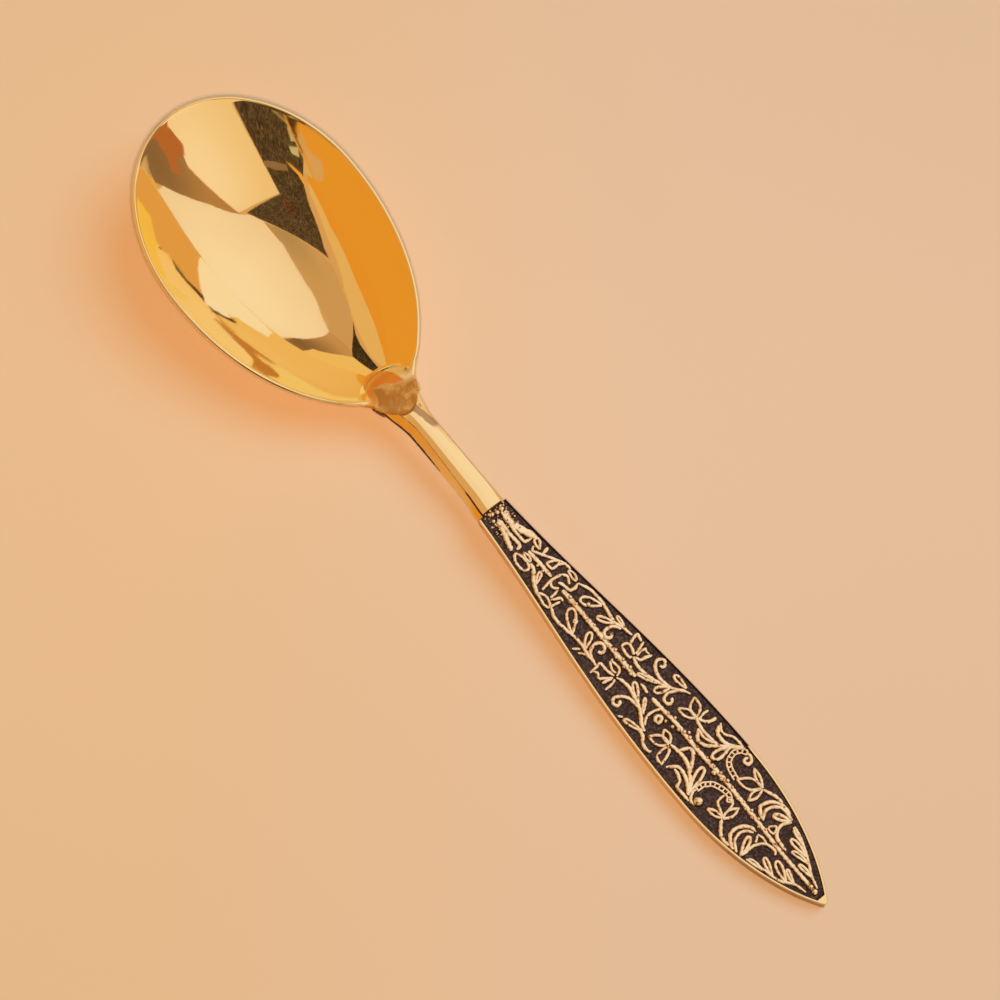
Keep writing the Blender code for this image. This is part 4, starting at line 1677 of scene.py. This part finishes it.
BEADS: tuple[Bead, ...] = (
    (-114.2, -0.3, 1.2), (-112.8, -0.2, 0.9), (-96.5, 0.5, 0.7), (-95.0, -0.3, 0.7), (-93.6, 0.8, 0.7),
    (-92.4, -0.1, 0.8), (-91.2, 0.9, 0.7), (-90.0, 0.0, 0.7), (-88.6, 0.8, 0.6), (-87.2, 0.2, 0.7),
    (-84.4, 1.0, 0.7), (-82.6, 1.1, 1.0), (-81.4, 0.3, 0.9), (-80.2, 1.1, 0.9), (-79.2, -0.1, 1.0),
    (-78.2, 0.9, 0.7), (-75.6, 1.0, 0.6), (-72.2, 0.9, 0.7), (-69.6, 1.0, 0.9), (-68.6, 1.6, 0.8),
    (-67.8, 0.9, 0.9), (-66.6, 0.2, 0.9), (-65.2, -0.4, 0.8), (-64.0, 1.4, 0.8), (-63.2, -0.8, 0.8),
    (-62.2, 0.9, 0.7), (-49.8, 0.2, 0.8), (-48.6, 1.1, 0.8), (-47.6, 0.0, 0.8), (-46.2, 1.0, 0.7),
    (-44.8, 0.1, 0.7), (-43.4, 1.1, 0.8), (-41.6, 0.3, 0.7), (-39.8, 0.9, 0.7), (-36.0, 1.0, 0.7),
    (-34.2, 0.3, 0.7), (-31.5, 3.0, 0.9), (-29.6, 0.9, 0.7), (-27.6, 0.9, 0.9), (-19.0, -0.1, 0.7),
    (-17.4, -0.3, 0.7), (-82.0, -7.0, 2.0), (-2.1, 1.7, 1.0), (-2.1, 0.4, 0.9), (-1.8, -0.8, 0.9),
    (-3.2, -1.6, 0.8), (-1.5, -1.3, 0.8),
)


def root_grains(count: int = 60, seed: int = 4) -> tuple[Bead, ...]:
    """Small rough grains strewn over the relief's root, next to the stem."""
    toss = random.Random(seed)
    return tuple((toss.uniform(-7.0, -0.9), toss.uniform(-3.3, 3.2), toss.uniform(0.22, 0.5)) for _ in range(count))


# Scrolls


@dataclass
class Scrolls:
    """Gilt scrolls: a beaded rib with vines, leaves and blossoms on both sides.

    The drawing gives places as (along, across) in millimetres, along towards the bowl from the spoon's middle.
    """

    line: SpoonLine
    height: float = 0.47 * MM
    foot: float = 0.25 * MM
    breadth: float = 1.88
    bead_breadth: float = 1.35
    bead_lift: float = 0.62
    bead_flatness: float = 0.75
    shift: Spot = (0.46, -0.2)
    stretch: float = 0.9925
    wall_gap: float = 0.5 * MM
    finish: GiltRidge = GiltRidge()
    rib: tuple[Motif, ...] = RIB
    right: tuple[Motif, ...] = RIGHT_SIDE
    left: tuple[Motif, ...] = LEFT_SIDE
    beads: tuple[Bead, ...] = BEADS + root_grains()

    def ground_point(self, along: float, across: float) -> Vector:
        """Find a spot of the drawing on the ground.

        Args:
            along: Place along the drawing.
            across: Place across the drawing.

        Returns:
            Place on the ground, inside the walls of the tray.
        """
        y = (along * self.stretch + self.shift[0]) * MM
        left, right = self.line.tray_wall(y, -1) + self.wall_gap, self.line.tray_wall(y, 1) - self.wall_gap
        x = max(left, min(right, (across + self.shift[1]) * MM))
        return Vector((x, y, float(self.line.handle_top(y)) - self.line.ground_depth))

    def build(self, tree: ShapeTree, material: Material) -> Piece:
        """Raise all ridges.

        Args:
            tree: Tree that sweeps ridges along curves.
            material: Finish of the ridges.

        Returns:
            The ridges as one piece.
        """
        curve = bpy.data.curves.new("scroll_lines", "CURVE")
        curve.dimensions = "3D"
        for motif in self.rib + self.right + self.left:
            for stroke in motif.strokes():
                self.add_line(curve, stroke)
        source = add_piece("scroll_lines", curve)
        return tree.apply("relief_scrolls", source, material, Height=self.height, Foot=self.foot)

    def add_line(self, curve: bpy.types.Curve, stroke: Stroke) -> None:
        """Add one ridge's centre line to the curve, with half its width as radius.

        Args:
            curve: Curve that takes the line.
            stroke: The ridge.
        """
        line = curve.splines.new("POLY")
        line.points.add(len(stroke.points) - 1)
        for point, (along, across), width in zip(line.points, stroke.points, stroke.widths):
            point.co = (*self.ground_point(along, across), 1.0)
            point.radius = width / 2 * self.breadth * self.wobble(along, across) * MM

    @staticmethod
    def wobble(along: float, across: float) -> float:
        """How uneven the chaser's hand left the width of a ridge at a spot on the drawing."""
        return 1 + 0.09 * math.sin(5.1 * along + 3.7 * across) + 0.05 * math.sin(11.3 * along - 7.9 * across)

    def build_beads(self, tree: ShapeTree, material: Material) -> Piece:
        """Set the beads of the rib and the florets.

        Args:
            tree: Tree that sets a bead on each point.
            material: Finish of the beads.

        Returns:
            The beads as one piece.
        """
        mesh = bpy.data.meshes.new("bead_places")
        lift = Vector((0, 0, self.height * self.bead_lift))
        mesh.from_pydata([self.ground_point(along, across) + lift for along, across, _ in self.beads], [], [])
        point_values(mesh, "size", np.array([size * self.bead_breadth * MM / 2 for _, _, size in self.beads]))
        source = add_piece("bead_places", mesh)
        return tree.apply("relief_beads", source, material, Flatness=self.bead_flatness)

    def dress(self, *pieces: Piece) -> None:
        """Tie the pieces to the frame; their trees have set the finish."""
        for piece in pieces:
            settle(piece, Slot.RELIEF)


# Braze


@dataclass
class Braze:
    """Bead of braze at one shoulder of the neck."""

    line: SpoonLine
    side: int
    half_length: float = 2.0 * MM
    half_width: float = 0.5 * MM
    half_height: float = 0.55 * MM
    out: float = 5.45 * MM
    below_rim: float = 1.95 * MM
    behind_neck: float = 0.8 * MM
    angle: float = math.radians(-18)
    lumps: float = 0.12
    bright_left: float = -3.0 * MM
    bright_right: float = 0.2 * MM
    around: int = 40
    rings: int = 28

    def build(self) -> Piece:
        """Build a lumpy bead.

        Returns:
            The bead with the point value burnt.
        """
        name = "braze_bead_left" if self.side < 0 else "braze_bead_right"
        line = self.line
        turn = np.linspace(0, 2 * math.pi, self.around, endpoint=False)
        loops = []
        for k, polar in enumerate(np.linspace(0.06, 0.94, self.rings) * math.pi):
            swell = 1 + self.lumps * np.sin(turn * 3 + k * 0.7 * self.side) * math.sin(k * 0.9)
            across, up = (wave * math.sin(polar) * swell for wave in (np.cos(turn), np.sin(turn)))
            loops.append(np.stack([across, np.full(self.around, -math.cos(polar)), up], 1))
        scale = np.array([self.half_width, self.half_length, self.half_height])
        loops = np.array(loops) * scale
        ends = np.array([[0, -self.half_length, 0], [0, self.half_length, 0]])
        place = np.array([self.side * self.out, line.neck_y - self.behind_neck, line.neck_height - self.below_rim])
        c, s = math.cos(self.angle * self.side), math.sin(self.angle * self.side)
        spin = np.array([[c, -s, 0], [s, c, 0], [0, 0, 1]])
        loops, ends = loops @ spin.T + place, ends @ spin.T + place
        mesh = shell_mesh(name, loops, ends[0], ends[1])
        bright_end = line.neck_y + (self.bright_right if self.side > 0 else self.bright_left)
        burnt = smooth_ramp(loops[..., 1], bright_end, bright_end + 0.6 * MM)
        point_values(mesh, "burnt", np.append(burnt.ravel(), [0.0, 1.0]))
        return add_piece(name, mesh)

    def dress(self, piece: Piece, material: Material) -> None:
        """Give the bead its finish and tie it to the frame."""
        piece.data.materials.append(material)
        settle(piece, Slot.BRAZE, "heel_braze_left" if self.side < 0 else "heel_braze_right")


# Studio

BOWL_MIDDLE = Vector((0.0, 80.0 * MM, 8.0 * MM))


def heading(direction: Spot) -> Vector:
    """Unit vector for an azimuth from +Y towards +X and an elevation above the floor, in degrees."""
    a, e = math.radians(direction[0]), math.radians(direction[1])
    return Vector((math.sin(a) * math.cos(e), math.cos(a) * math.cos(e), math.sin(e)))


@dataclass(frozen=True)
class Card:
    """Flat glowing card, a painted reflection that only polished metal shows, by the directions of its corners in
    degrees.

    A direction is (azimuth, elevation), seen from the bowl. The card shows after the given first to last bounce of
    light from metal to metal.
    """

    name: str
    corners: tuple[Spot, ...]
    colour: Colour
    distance: float = 1.6
    mottle: Colour | None = None
    scratches: Colour | None = None
    heart: Spot | None = None
    rim_colour: Colour = (0.0, 0.0, 0.0)
    reach: float = 40.0
    bounces: tuple[int, int] = (1, 1)

    def place(self, corner: Spot) -> Vector:
        """Where a corner, or the heart of the card, lies."""
        return BOWL_MIDDLE + heading(corner) * self.distance

    def fade(self) -> float:
        """Length over which the card fades from its heart; its reach is an angle."""
        return 2 * self.distance * math.sin(math.radians(self.reach) / 2)

    def tint(self, graph: Graph) -> Socket | tuple:
        """Colour the card: plain or fading away from its heart, and mottled or scratched.

        Args:
            graph: Helper for the card's material.

        Returns:
            Source of the colour, or a plain colour.
        """
        tint, place = (*self.colour, 1.0), graph.place()
        if self.heart:
            away = graph.add("ShaderNodeVectorMath", {0: place, 1: self.place(self.heart)}, operation="DISTANCE")
            tint = graph.mix(graph.span(away.outputs["Value"], 0.0, self.fade()), self.colour, self.rim_colour)
        if self.mottle:
            inputs = {"Vector": place, "Rotation": (0.4, 0.7, 0.2), "Scale": (1, 3, 1)}
            cloud = graph.noise(graph.one("ShaderNodeMapping", inputs), 14.0, 7.0, 0.75)
            tint = graph.mix(graph.span(cloud, 0.44, 0.72), tint, self.mottle)
        if self.scratches:
            hair = graph.math("ABSOLUTE", graph.math("SUBTRACT", graph.noise(place, 16.0, 3.0, 0.7), 0.5))
            faint = graph.span(graph.noise(place, 5.0), 0.4, 0.6)
            lines = graph.times(graph.span(hair, 0.0, 0.018, 1.0, 0.0), faint)
            tint = graph.mix(lines, tint, self.scratches)
        return tint

    def build(self) -> None:
        """Build the card and its glow, as a part of the stage."""
        mesh = bpy.data.meshes.new(self.name)
        mesh.from_pydata([self.place(corner) for corner in self.corners], [], [list(range(len(self.corners)))])
        material = bpy.data.materials.new(self.name)
        material.use_nodes = True
        material.node_tree.nodes.clear()
        graph = Graph(material.node_tree)
        glow = graph.one("ShaderNodeEmission", {"Color": self.tint(graph), "Strength": 1.0})
        path = graph.add("ShaderNodeLightPath").outputs
        early = graph.math("GREATER_THAN", path["Glossy Depth"], self.bounces[0] - 0.5)
        late = graph.math("LESS_THAN", path["Glossy Depth"], self.bounces[1] + 0.5)
        straight = graph.math("LESS_THAN", path["Diffuse Depth"], 0.5)
        clear = graph.one("ShaderNodeBsdfTransparent")
        seen = graph.times(graph.times(early, late), straight)
        shown = graph.one("ShaderNodeMixShader", {0: seen, 1: clear, 2: glow})
        graph.add("ShaderNodeOutputMaterial", {"Surface": shown})
        material.cycles.emission_sampling = "NONE"
        mesh.materials.append(material)
        card = add_piece(self.name, mesh)
        for rays in ("camera", "diffuse", "shadow", "transmission"):
            setattr(card, f"visible_{rays}", False)


@dataclass(frozen=True)
class LowCard(Card):
    """Glowing card close over the bowl, a painted reflection, by its corners in plan in millimetres from the bowl's
    middle.

    It gives one wall of the bowl what it shows of the other wall, so it only shows after a second bounce.
    """

    distance: float = 60.0
    reach: float = 30.0
    bounces: tuple[int, int] = (2, 2)

    def place(self, corner: Spot) -> Vector:
        """Where a corner, or the heart of the card, lies: its distance is its height above the floor."""
        return Vector((corner[0] * MM, BOWL_MIDDLE.y + corner[1] * MM, self.distance * MM))

    def fade(self) -> float:
        """Length over which the card fades from its heart; its reach is in millimetres."""
        return self.reach * MM


@dataclass(frozen=True)
class Lamp:
    """Soft lamp, by the direction that its light comes from, its share of the light and its breadth.

    A lamp with a distance is a round sheet of that breadth in metres, evened out over the floor. Without one it is
    far away, and its breadth is an angle.
    """

    name: str
    direction: Spot
    share: Colour
    breadth: float
    distance: float = 0.0

    def build(self) -> None:
        """Hang the lamp so that the floor gets its share of the light."""
        ahead = heading(self.direction)
        if self.distance:
            lamp = bpy.data.lights.new(self.name, "AREA")
            lamp.shape = "DISK"
            lamp.size = self.breadth
            lamp.energy = math.pi**2 / ahead.z
            lamp.use_nodes = True
            graph = Graph(lamp.node_tree)
            even = graph.add("ShaderNodeLightFalloff", {"Strength": 1.0}).outputs["Constant"]
            graph.set_input(graph.tree.nodes["Emission"], "Strength", even)
        else:
            lamp = bpy.data.lights.new(self.name, "SUN")
            lamp.angle = self.breadth
            lamp.energy = math.pi / ahead.z
        lamp.color = self.share
        holder = add_piece(self.name, lamp)
        holder.location = ahead * self.distance
        holder.rotation_euler = (-ahead).to_track_quat("-Z", "Y").to_euler()
        holder.visible_glossy = False


CARDS: tuple[Card, ...] = (
    Card("cream_panel", (
        (16, 58), (22, 55), (36, 49), (48, 39), (57, 30), (66, 8), (124, 1), (130, 6), (135, 16), (142, 28),
        (148, 36), (154, 44), (161, 51), (173, 57), (-174, 60), (-156, 66), (-121, 80), (-4, 79), (10, 68),
    ), (1.04, 1.01, 1.14), heart=(92, 43), rim_colour=(0.94, 0.81, 0.80), reach=62.0),
    Card("south_panel", (
        (-122, 40), (180, 56), (171, 55), (158, 20), (166, 2), (-147, -3),
    ), (1.02, 0.91, 0.92), heart=(170, 30), rim_colour=(0.93, 0.75, 0.56), reach=48.0),
    Card("dark_wall", (
        (-66, 47), (-178, 58), (-122, 40), (-144, 0), (-136, -3), (-103, -3), (-103, 12), (-103, 16), (-102, 21),
        (-97, 29), (-82, 39),
    ), (0.05, 0.032, 0.022), 2.1, mottle=(0.27, 0.19, 0.13), scratches=(0.36, 0.26, 0.17)),
    Card("wall_belt", (
        (-136, 27), (-127, 23), (-114, 18), (-113, 21), (-123, 26), (-134, 28),
    ), (0.32, 0.20, 0.13), 1.5),
    Card("upper_fleck", ((-111.5, 0.5), (-109, 0.5), (-107, 3), (-110, 5)), (0.55, 0.55, 0.42), 1.5),
    Card("lower_fleck", ((-111.5, 8), (-106, 4.5), (-105.5, 8.5), (-110, 10)), (0.62, 0.60, 0.42), 1.5),
    Card("orange_tip", (
        (-114.5, 16.5), (-110, 15.8), (-104, 15.5), (-100, 18), (-101, 21), (-106, 18), (-110, 17.5),
    ), (0.9, 0.48, 0.10), 1.5),
    Card("wall_patch", ((-124, 46), (-112, 49), (-104, 43), (-114, 40)), (0.07, 0.04, 0.025), 1.5, (0.36, 0.14, 0.07)),
    Card("patch_foot", ((-103, 4), (-103, 13.5), (-98, 12), (-96, 9), (-96, 4)), (0.74, 0.545, 0.30), 1.5),
    Card("dark_slot", (
        (-25, 45.5), (-14, 45), (-4, 43.5), (8, 40), (17, 35), (12, 27), (7, 20), (-4, 19), (-8, 30), (-11, 38),
        (-16, 43),
    ), (0.045, 0.03, 0.02), 1.0, scratches=(0.30, 0.20, 0.12)),
    Card("pale_wall", (
        (-98, 21), (-86, 29), (-74, 35), (-60, 42), (-45, 47), (-33, 46.5), (-25, 45), (-16, 36), (-9, 26), (-9, 12),
        (-23, 20), (-33, 25), (-42, 29), (-53, 31), (-64, 29), (-72, 26), (-83, 23), (-92, 19), (-99, 16),
    ), (0.84, 0.58, 0.30), 2.1),
    Card("orange_wall", (
        (-99, 16), (-92, 19), (-83, 23), (-72, 26), (-64, 29), (-53, 31), (-42, 29), (-33, 25), (-23, 20), (-9, 12),
        (-9, -2), (-60, -2), (-104, -2), (-104, 8),
    ), (0.834, 0.39, 0.06), 2.2),
    Card("brown_band", (
        (6, 58), (14, 59), (37, 50), (52, 37), (66, 8), (58, 10), (47, 30), (28, 34), (18, 34), (6, 42), (2, 50),
    ), (0.26, 0.15, 0.085), 1.9, heart=(54, 30), rim_colour=(0.60, 0.37, 0.20), reach=30.0),
    Card("gold_wall", ((66, 8), (47, 31), (28, 35), (18, 35), (8, 28), (8, -2), (66, -2)), (0.92, 0.66, 0.30), 2.3),
    Card("brown_wall", (
        (173, 57), (161, 51), (154, 44), (148, 36), (142, 28), (135, 16), (130, 6), (127, 1), (140, -3), (160, 2),
        (163, 14), (157, 20), (170, 55),
    ), (0.27, 0.165, 0.105), 1.35, heart=(140, 2), rim_colour=(0.50, 0.28, 0.14), reach=40.0),
    Card("orange_corner", ((118, -4), (121, 2), (127, 2), (134, -4)), (0.85, 0.50, 0.15), 1.2),
    Card("red_card", (
        (158, 3), (164, 8), (166, 15), (162, 17), (157, 15.5), (152, 14), (148, 18), (143, 12), (148, 10), (149, 6),
        (150, 2),
    ), (0.50, 0.18, 0.07), 1.1),
    Card("rim_dark", (
        (170, 26), (158, 44), (141, 53), (138.5, 56), (137, 60), (130, 62), (116, 50), (120, 30),
    ), (0.10, 0.06, 0.05), 2.2, bounces=(2, 2)),
    Card("wall_skirt", ((-142, -5), (-142, 1), (-104, 1), (-104, -5)), (0.10, 0.065, 0.045), 0.3),
    Card("rim_patch", (
        (143, 54), (138.5, 56), (138, 61), (134, 66), (130, 69), (137, 70), (147, 67), (148, 65), (142, 61),
        (142, 58),
    ), (0.79, 0.70, 0.95), 2.0, bounces=(2, 2)),
    Card("rim_cream", ((20, -3), (160, -3), (160, 32), (90, 38), (20, 32)), (1.08, 1.39, 3.3), 3.0, bounces=(2, 2)),
    LowCard("tan_wall", (
        (-5.1, -13.9), (-13.3, -7.4), (-21.3, 0.4), (-35.5, 15.4), (-26.9, 19.8), (-21.3, 26.4), (-12.8, 30.8),
        (10.4, 37.7), (10.2, 25), (15.1, 18), (6.1, 9.6), (2.9, 6.2), (-3.7, -2.7),
    ), (0.49, 0.35, 0.21), heart=(-12, -6), rim_colour=(0.65, 0.43, 0.26), reach=22.0, bounces=(1, 1)),
    LowCard("left_cream", (
        (5, -31), (9.4, -28.7), (12.9, -20.1), (16.6, -13.1), (23, -11.7), (34.4, -8.7), (46, -4.8), (57, -1),
        (60, 0.6), (57.6, 3.3), (44, 5.2), (32, 5), (26.5, 5.8), (22.3, 9.8), (20, 13.4), (19.5, 15.2), (16, 15.7),
        (5, 15.7),
    ), (1.08, 1.39, 3.3)),
    LowCard("left_dark", (
        (60, 0.3), (67.5, 5.6), (51.8, 6.4), (41.3, 7.6), (33, 7.2), (36, 5.6), (50, 3.5),
    ), (0.13, 0.10, 0.14), 61.0),
    LowCard("left_gold", (
        (4, 6), (75, 6), (80, 135), (12, 135), (9, 60), (7, 38),
    ), (1.0, 0.95, 1.0), 62.0, heart=(40, 20), rim_colour=(0.93, 0.76, 0.58), reach=80.0),
    LowCard("left_orange", (
        (4, -9), (60, -3), (48, -14), (42, -24), (36, -34), (20, -40), (14, -54), (-6, -54), (0, -38), (8, -22),
    ), (0.87, 0.65, 0.52), 62.5),
    LowCard("left_yellow", (
        (14, -60), (20, -40), (34, -30), (42, -33), (53.4, -29.9), (79.5, -21.6), (110, -16), (110, -60),
    ), (1.04, 0.98, 0.55), 63.0),
    LowCard("left_pale", (
        (36, -26), (44, -20), (50, -12), (56, -5), (66, 6), (76, 15), (110, 15), (110, -16), (79.5, -21.6),
        (53.4, -29.9), (42, -33),
    ), (1.05, 1.04, 1.30), 61.5),
    LowCard("left_slit", (
        (35, -23.2), (44.1, -19.7), (49.4, -13.5), (50.9, -7.9), (57.6, -2.2), (60, 0), (46.8, -4.3), (42.8, -8.5),
        (43.1, -13.8), (39.2, -18.9),
    ), (0.12, 0.09, 0.10), 60.5),
    LowCard("left_streak", (
        (60, 0), (63.4, 5), (63.5, 10.4), (62, 16), (76, 18), (72, 12), (70, 10.5),
    ), (0.78, 0.60, 0.45), 61.0),
    LowCard("hook", (
        (26.4, 17.6), (29.9, 17.6), (32.1, 14.8), (32.7, 9.9), (33, 4), (38, 4), (36, 14), (33, 19), (32, 22.2),
        (31, 23.6), (29, 24.5), (27, 23.5), (26, 21),
    ), (0.66, 0.48, 0.45), bounces=(3, 3)),
    LowCard("pale_ribbon", (
        (33, -9), (32.4, -6.8), (30.7, 0.9), (28.6, 8.7), (27.3, 14), (26.6, 17.1), (30, 18), (34, 15), (36, 4),
        (40, -9),
    ), (1.13, 1.50, 3.7), 61.0, bounces=(3, 3)),
)


@dataclass
class Studio:
    """Peach paper, a warm lamp overhead and a cool one from the right, and the cards that the bowl reflects."""

    left_paper: Colour = (0.815, 0.500, 0.268)
    right_paper: Colour = (0.790, 0.520, 0.325)
    across_picture: Place = (0.77, -0.64, 0.0)
    up_picture: Place = (0.64, 0.77, 0.0)
    lower_shade: float = 0.065
    surround: Colour = (0.74, 0.47, 0.26)
    second_surround: Colour = (0.905, 0.586, 0.20)
    third_surround: Colour = (1.08, 1.45, 2.6)
    fill: Colour = (0.06, 0.06, 0.05)
    lamps: tuple[Lamp, ...] = (
        Lamp("overhead_lamp", (-140.3, 73.0), (0.84, 0.625, 0.41), 0.06, 0.9),
        Lamp("side_lamp", (105.0, 58.0), (0.12, 0.33, 0.55), math.radians(45)),
    )
    floor_half: float = 4.0
    floor_roughness: float = 0.9
    cards: tuple[Card, ...] = CARDS

    def build(self) -> None:
        """Build the floor, the world, the lamps and the cards."""
        bpy.context.scene.view_settings.view_transform = "Standard"
        self.build_floor()
        self.build_world()
        for piece in (*self.lamps, *self.cards):
            piece.build()

    def build_floor(self) -> None:
        """Lay the paper, a little pinker to the right and darker towards the handle's tip."""
        h = self.floor_half
        mesh = bpy.data.meshes.new("paper_floor")
        mesh.from_pydata([(-h, -h, 0), (h, -h, 0), (h, h, 0), (-h, h, 0)], [], [(0, 1, 2, 3)])
        paper = Surface("peach_paper")
        place = paper.place()
        across = paper.add("ShaderNodeVectorMath", {0: place, 1: self.across_picture}, operation="DOT_PRODUCT")
        tint = paper.mix(paper.span(across.outputs["Value"], -0.1, 0.06), self.left_paper, self.right_paper)
        up = paper.add("ShaderNodeVectorMath", {0: place, 1: self.up_picture}, operation="DOT_PRODUCT")
        shade = paper.span(up.outputs["Value"], -0.13, 0.05, self.lower_shade, 0.0)
        paper.feed("Base Color", paper.mix(shade, tint, (0.0, 0.0, 0.0)))
        paper.feed("Metallic", 0.0)
        paper.feed("Roughness", self.floor_roughness)
        paper.feed("Specular IOR Level", 0.0)
        mesh.materials.append(paper.material)
        add_piece("paper_floor", mesh)

    def build_world(self) -> None:
        """Light diffuse surfaces faintly, and show the camera and the metal the peach surround, bounce by bounce."""
        world = bpy.data.worlds.new("studio_world")
        world.use_nodes = True
        bpy.context.scene.world = world
        world.node_tree.nodes.clear()
        graph = Graph(world.node_tree)
        path = graph.add("ShaderNodeLightPath").outputs
        seen = graph.math("MAXIMUM", path["Is Camera Ray"], path["Is Glossy Ray"])
        seen = graph.times(seen, graph.math("LESS_THAN", path["Diffuse Depth"], 0.5))
        # Painted reflection: the surround that metal shows turns brass-tinted on the second bounce and bluish white
        # from the third.
        twice = graph.math("GREATER_THAN", path["Glossy Depth"], 1.5)
        thrice = graph.math("GREATER_THAN", path["Glossy Depth"], 2.5)
        around = graph.mix(thrice, graph.mix(twice, self.surround, self.second_surround), self.third_surround)
        tint = graph.mix(seen, self.fill, around)
        glow = graph.one("ShaderNodeBackground", {"Color": tint, "Strength": 1.0})
        graph.add("ShaderNodeOutputWorld", {"Surface": glow})


@dataclass(frozen=True)
class PhotoCamera:
    """Camera of the photograph."""

    azimuth: float = math.radians(-39.66)
    elevation: float = math.radians(73.0)
    target: Place = (2.56 * MM, 0.21 * MM, 10.0 * MM)
    distance: float = 0.9
    lens: float = 142.8
    sensor: float = 36.0
    near: float = 0.05

    def build(self) -> None:
        """Place the camera."""
        data = bpy.data.cameras.new("photo_camera")
        data.lens = self.lens
        data.sensor_width = self.sensor
        data.clip_start = self.near
        camera = add_piece("photo_camera", data)
        low = math.cos(self.elevation)
        back = Vector((math.sin(self.azimuth) * low, -math.cos(self.azimuth) * low, math.sin(self.elevation)))
        camera.location = Vector(self.target) + back * self.distance
        camera.rotation_euler = (-back).to_track_quat("-Z", "Y").to_euler()
        bpy.context.scene.camera = camera


def main() -> None:
    """Build the camera, the studio and the spoon in order."""
    logging.basicConfig(level=logging.INFO)
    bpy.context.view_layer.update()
    PhotoCamera().build()
    Studio().build()
    effects = SharedEffects()
    line = SpoonLine()

    bowl = Bowl(line)
    bowl.dress(bowl.build(), effects)

    handle = Handle(line, bowl)
    handle.dress(handle.build(), effects)

    ground = ReliefGround(line, handle)
    ground.dress(ground.build(matting_tree(), effects))

    scrolls = Scrolls(line)
    gilt = scrolls.finish.material(effects)
    scrolls.dress(scrolls.build(ridge_tree(), gilt), scrolls.build_beads(stud_tree(), gilt))

    burnt = BurntBraze().material(effects)
    for side in (-1, 1):
        braze = Braze(line, side)
        braze.dress(braze.build(), burnt)


if __name__ == "__main__":
    main()
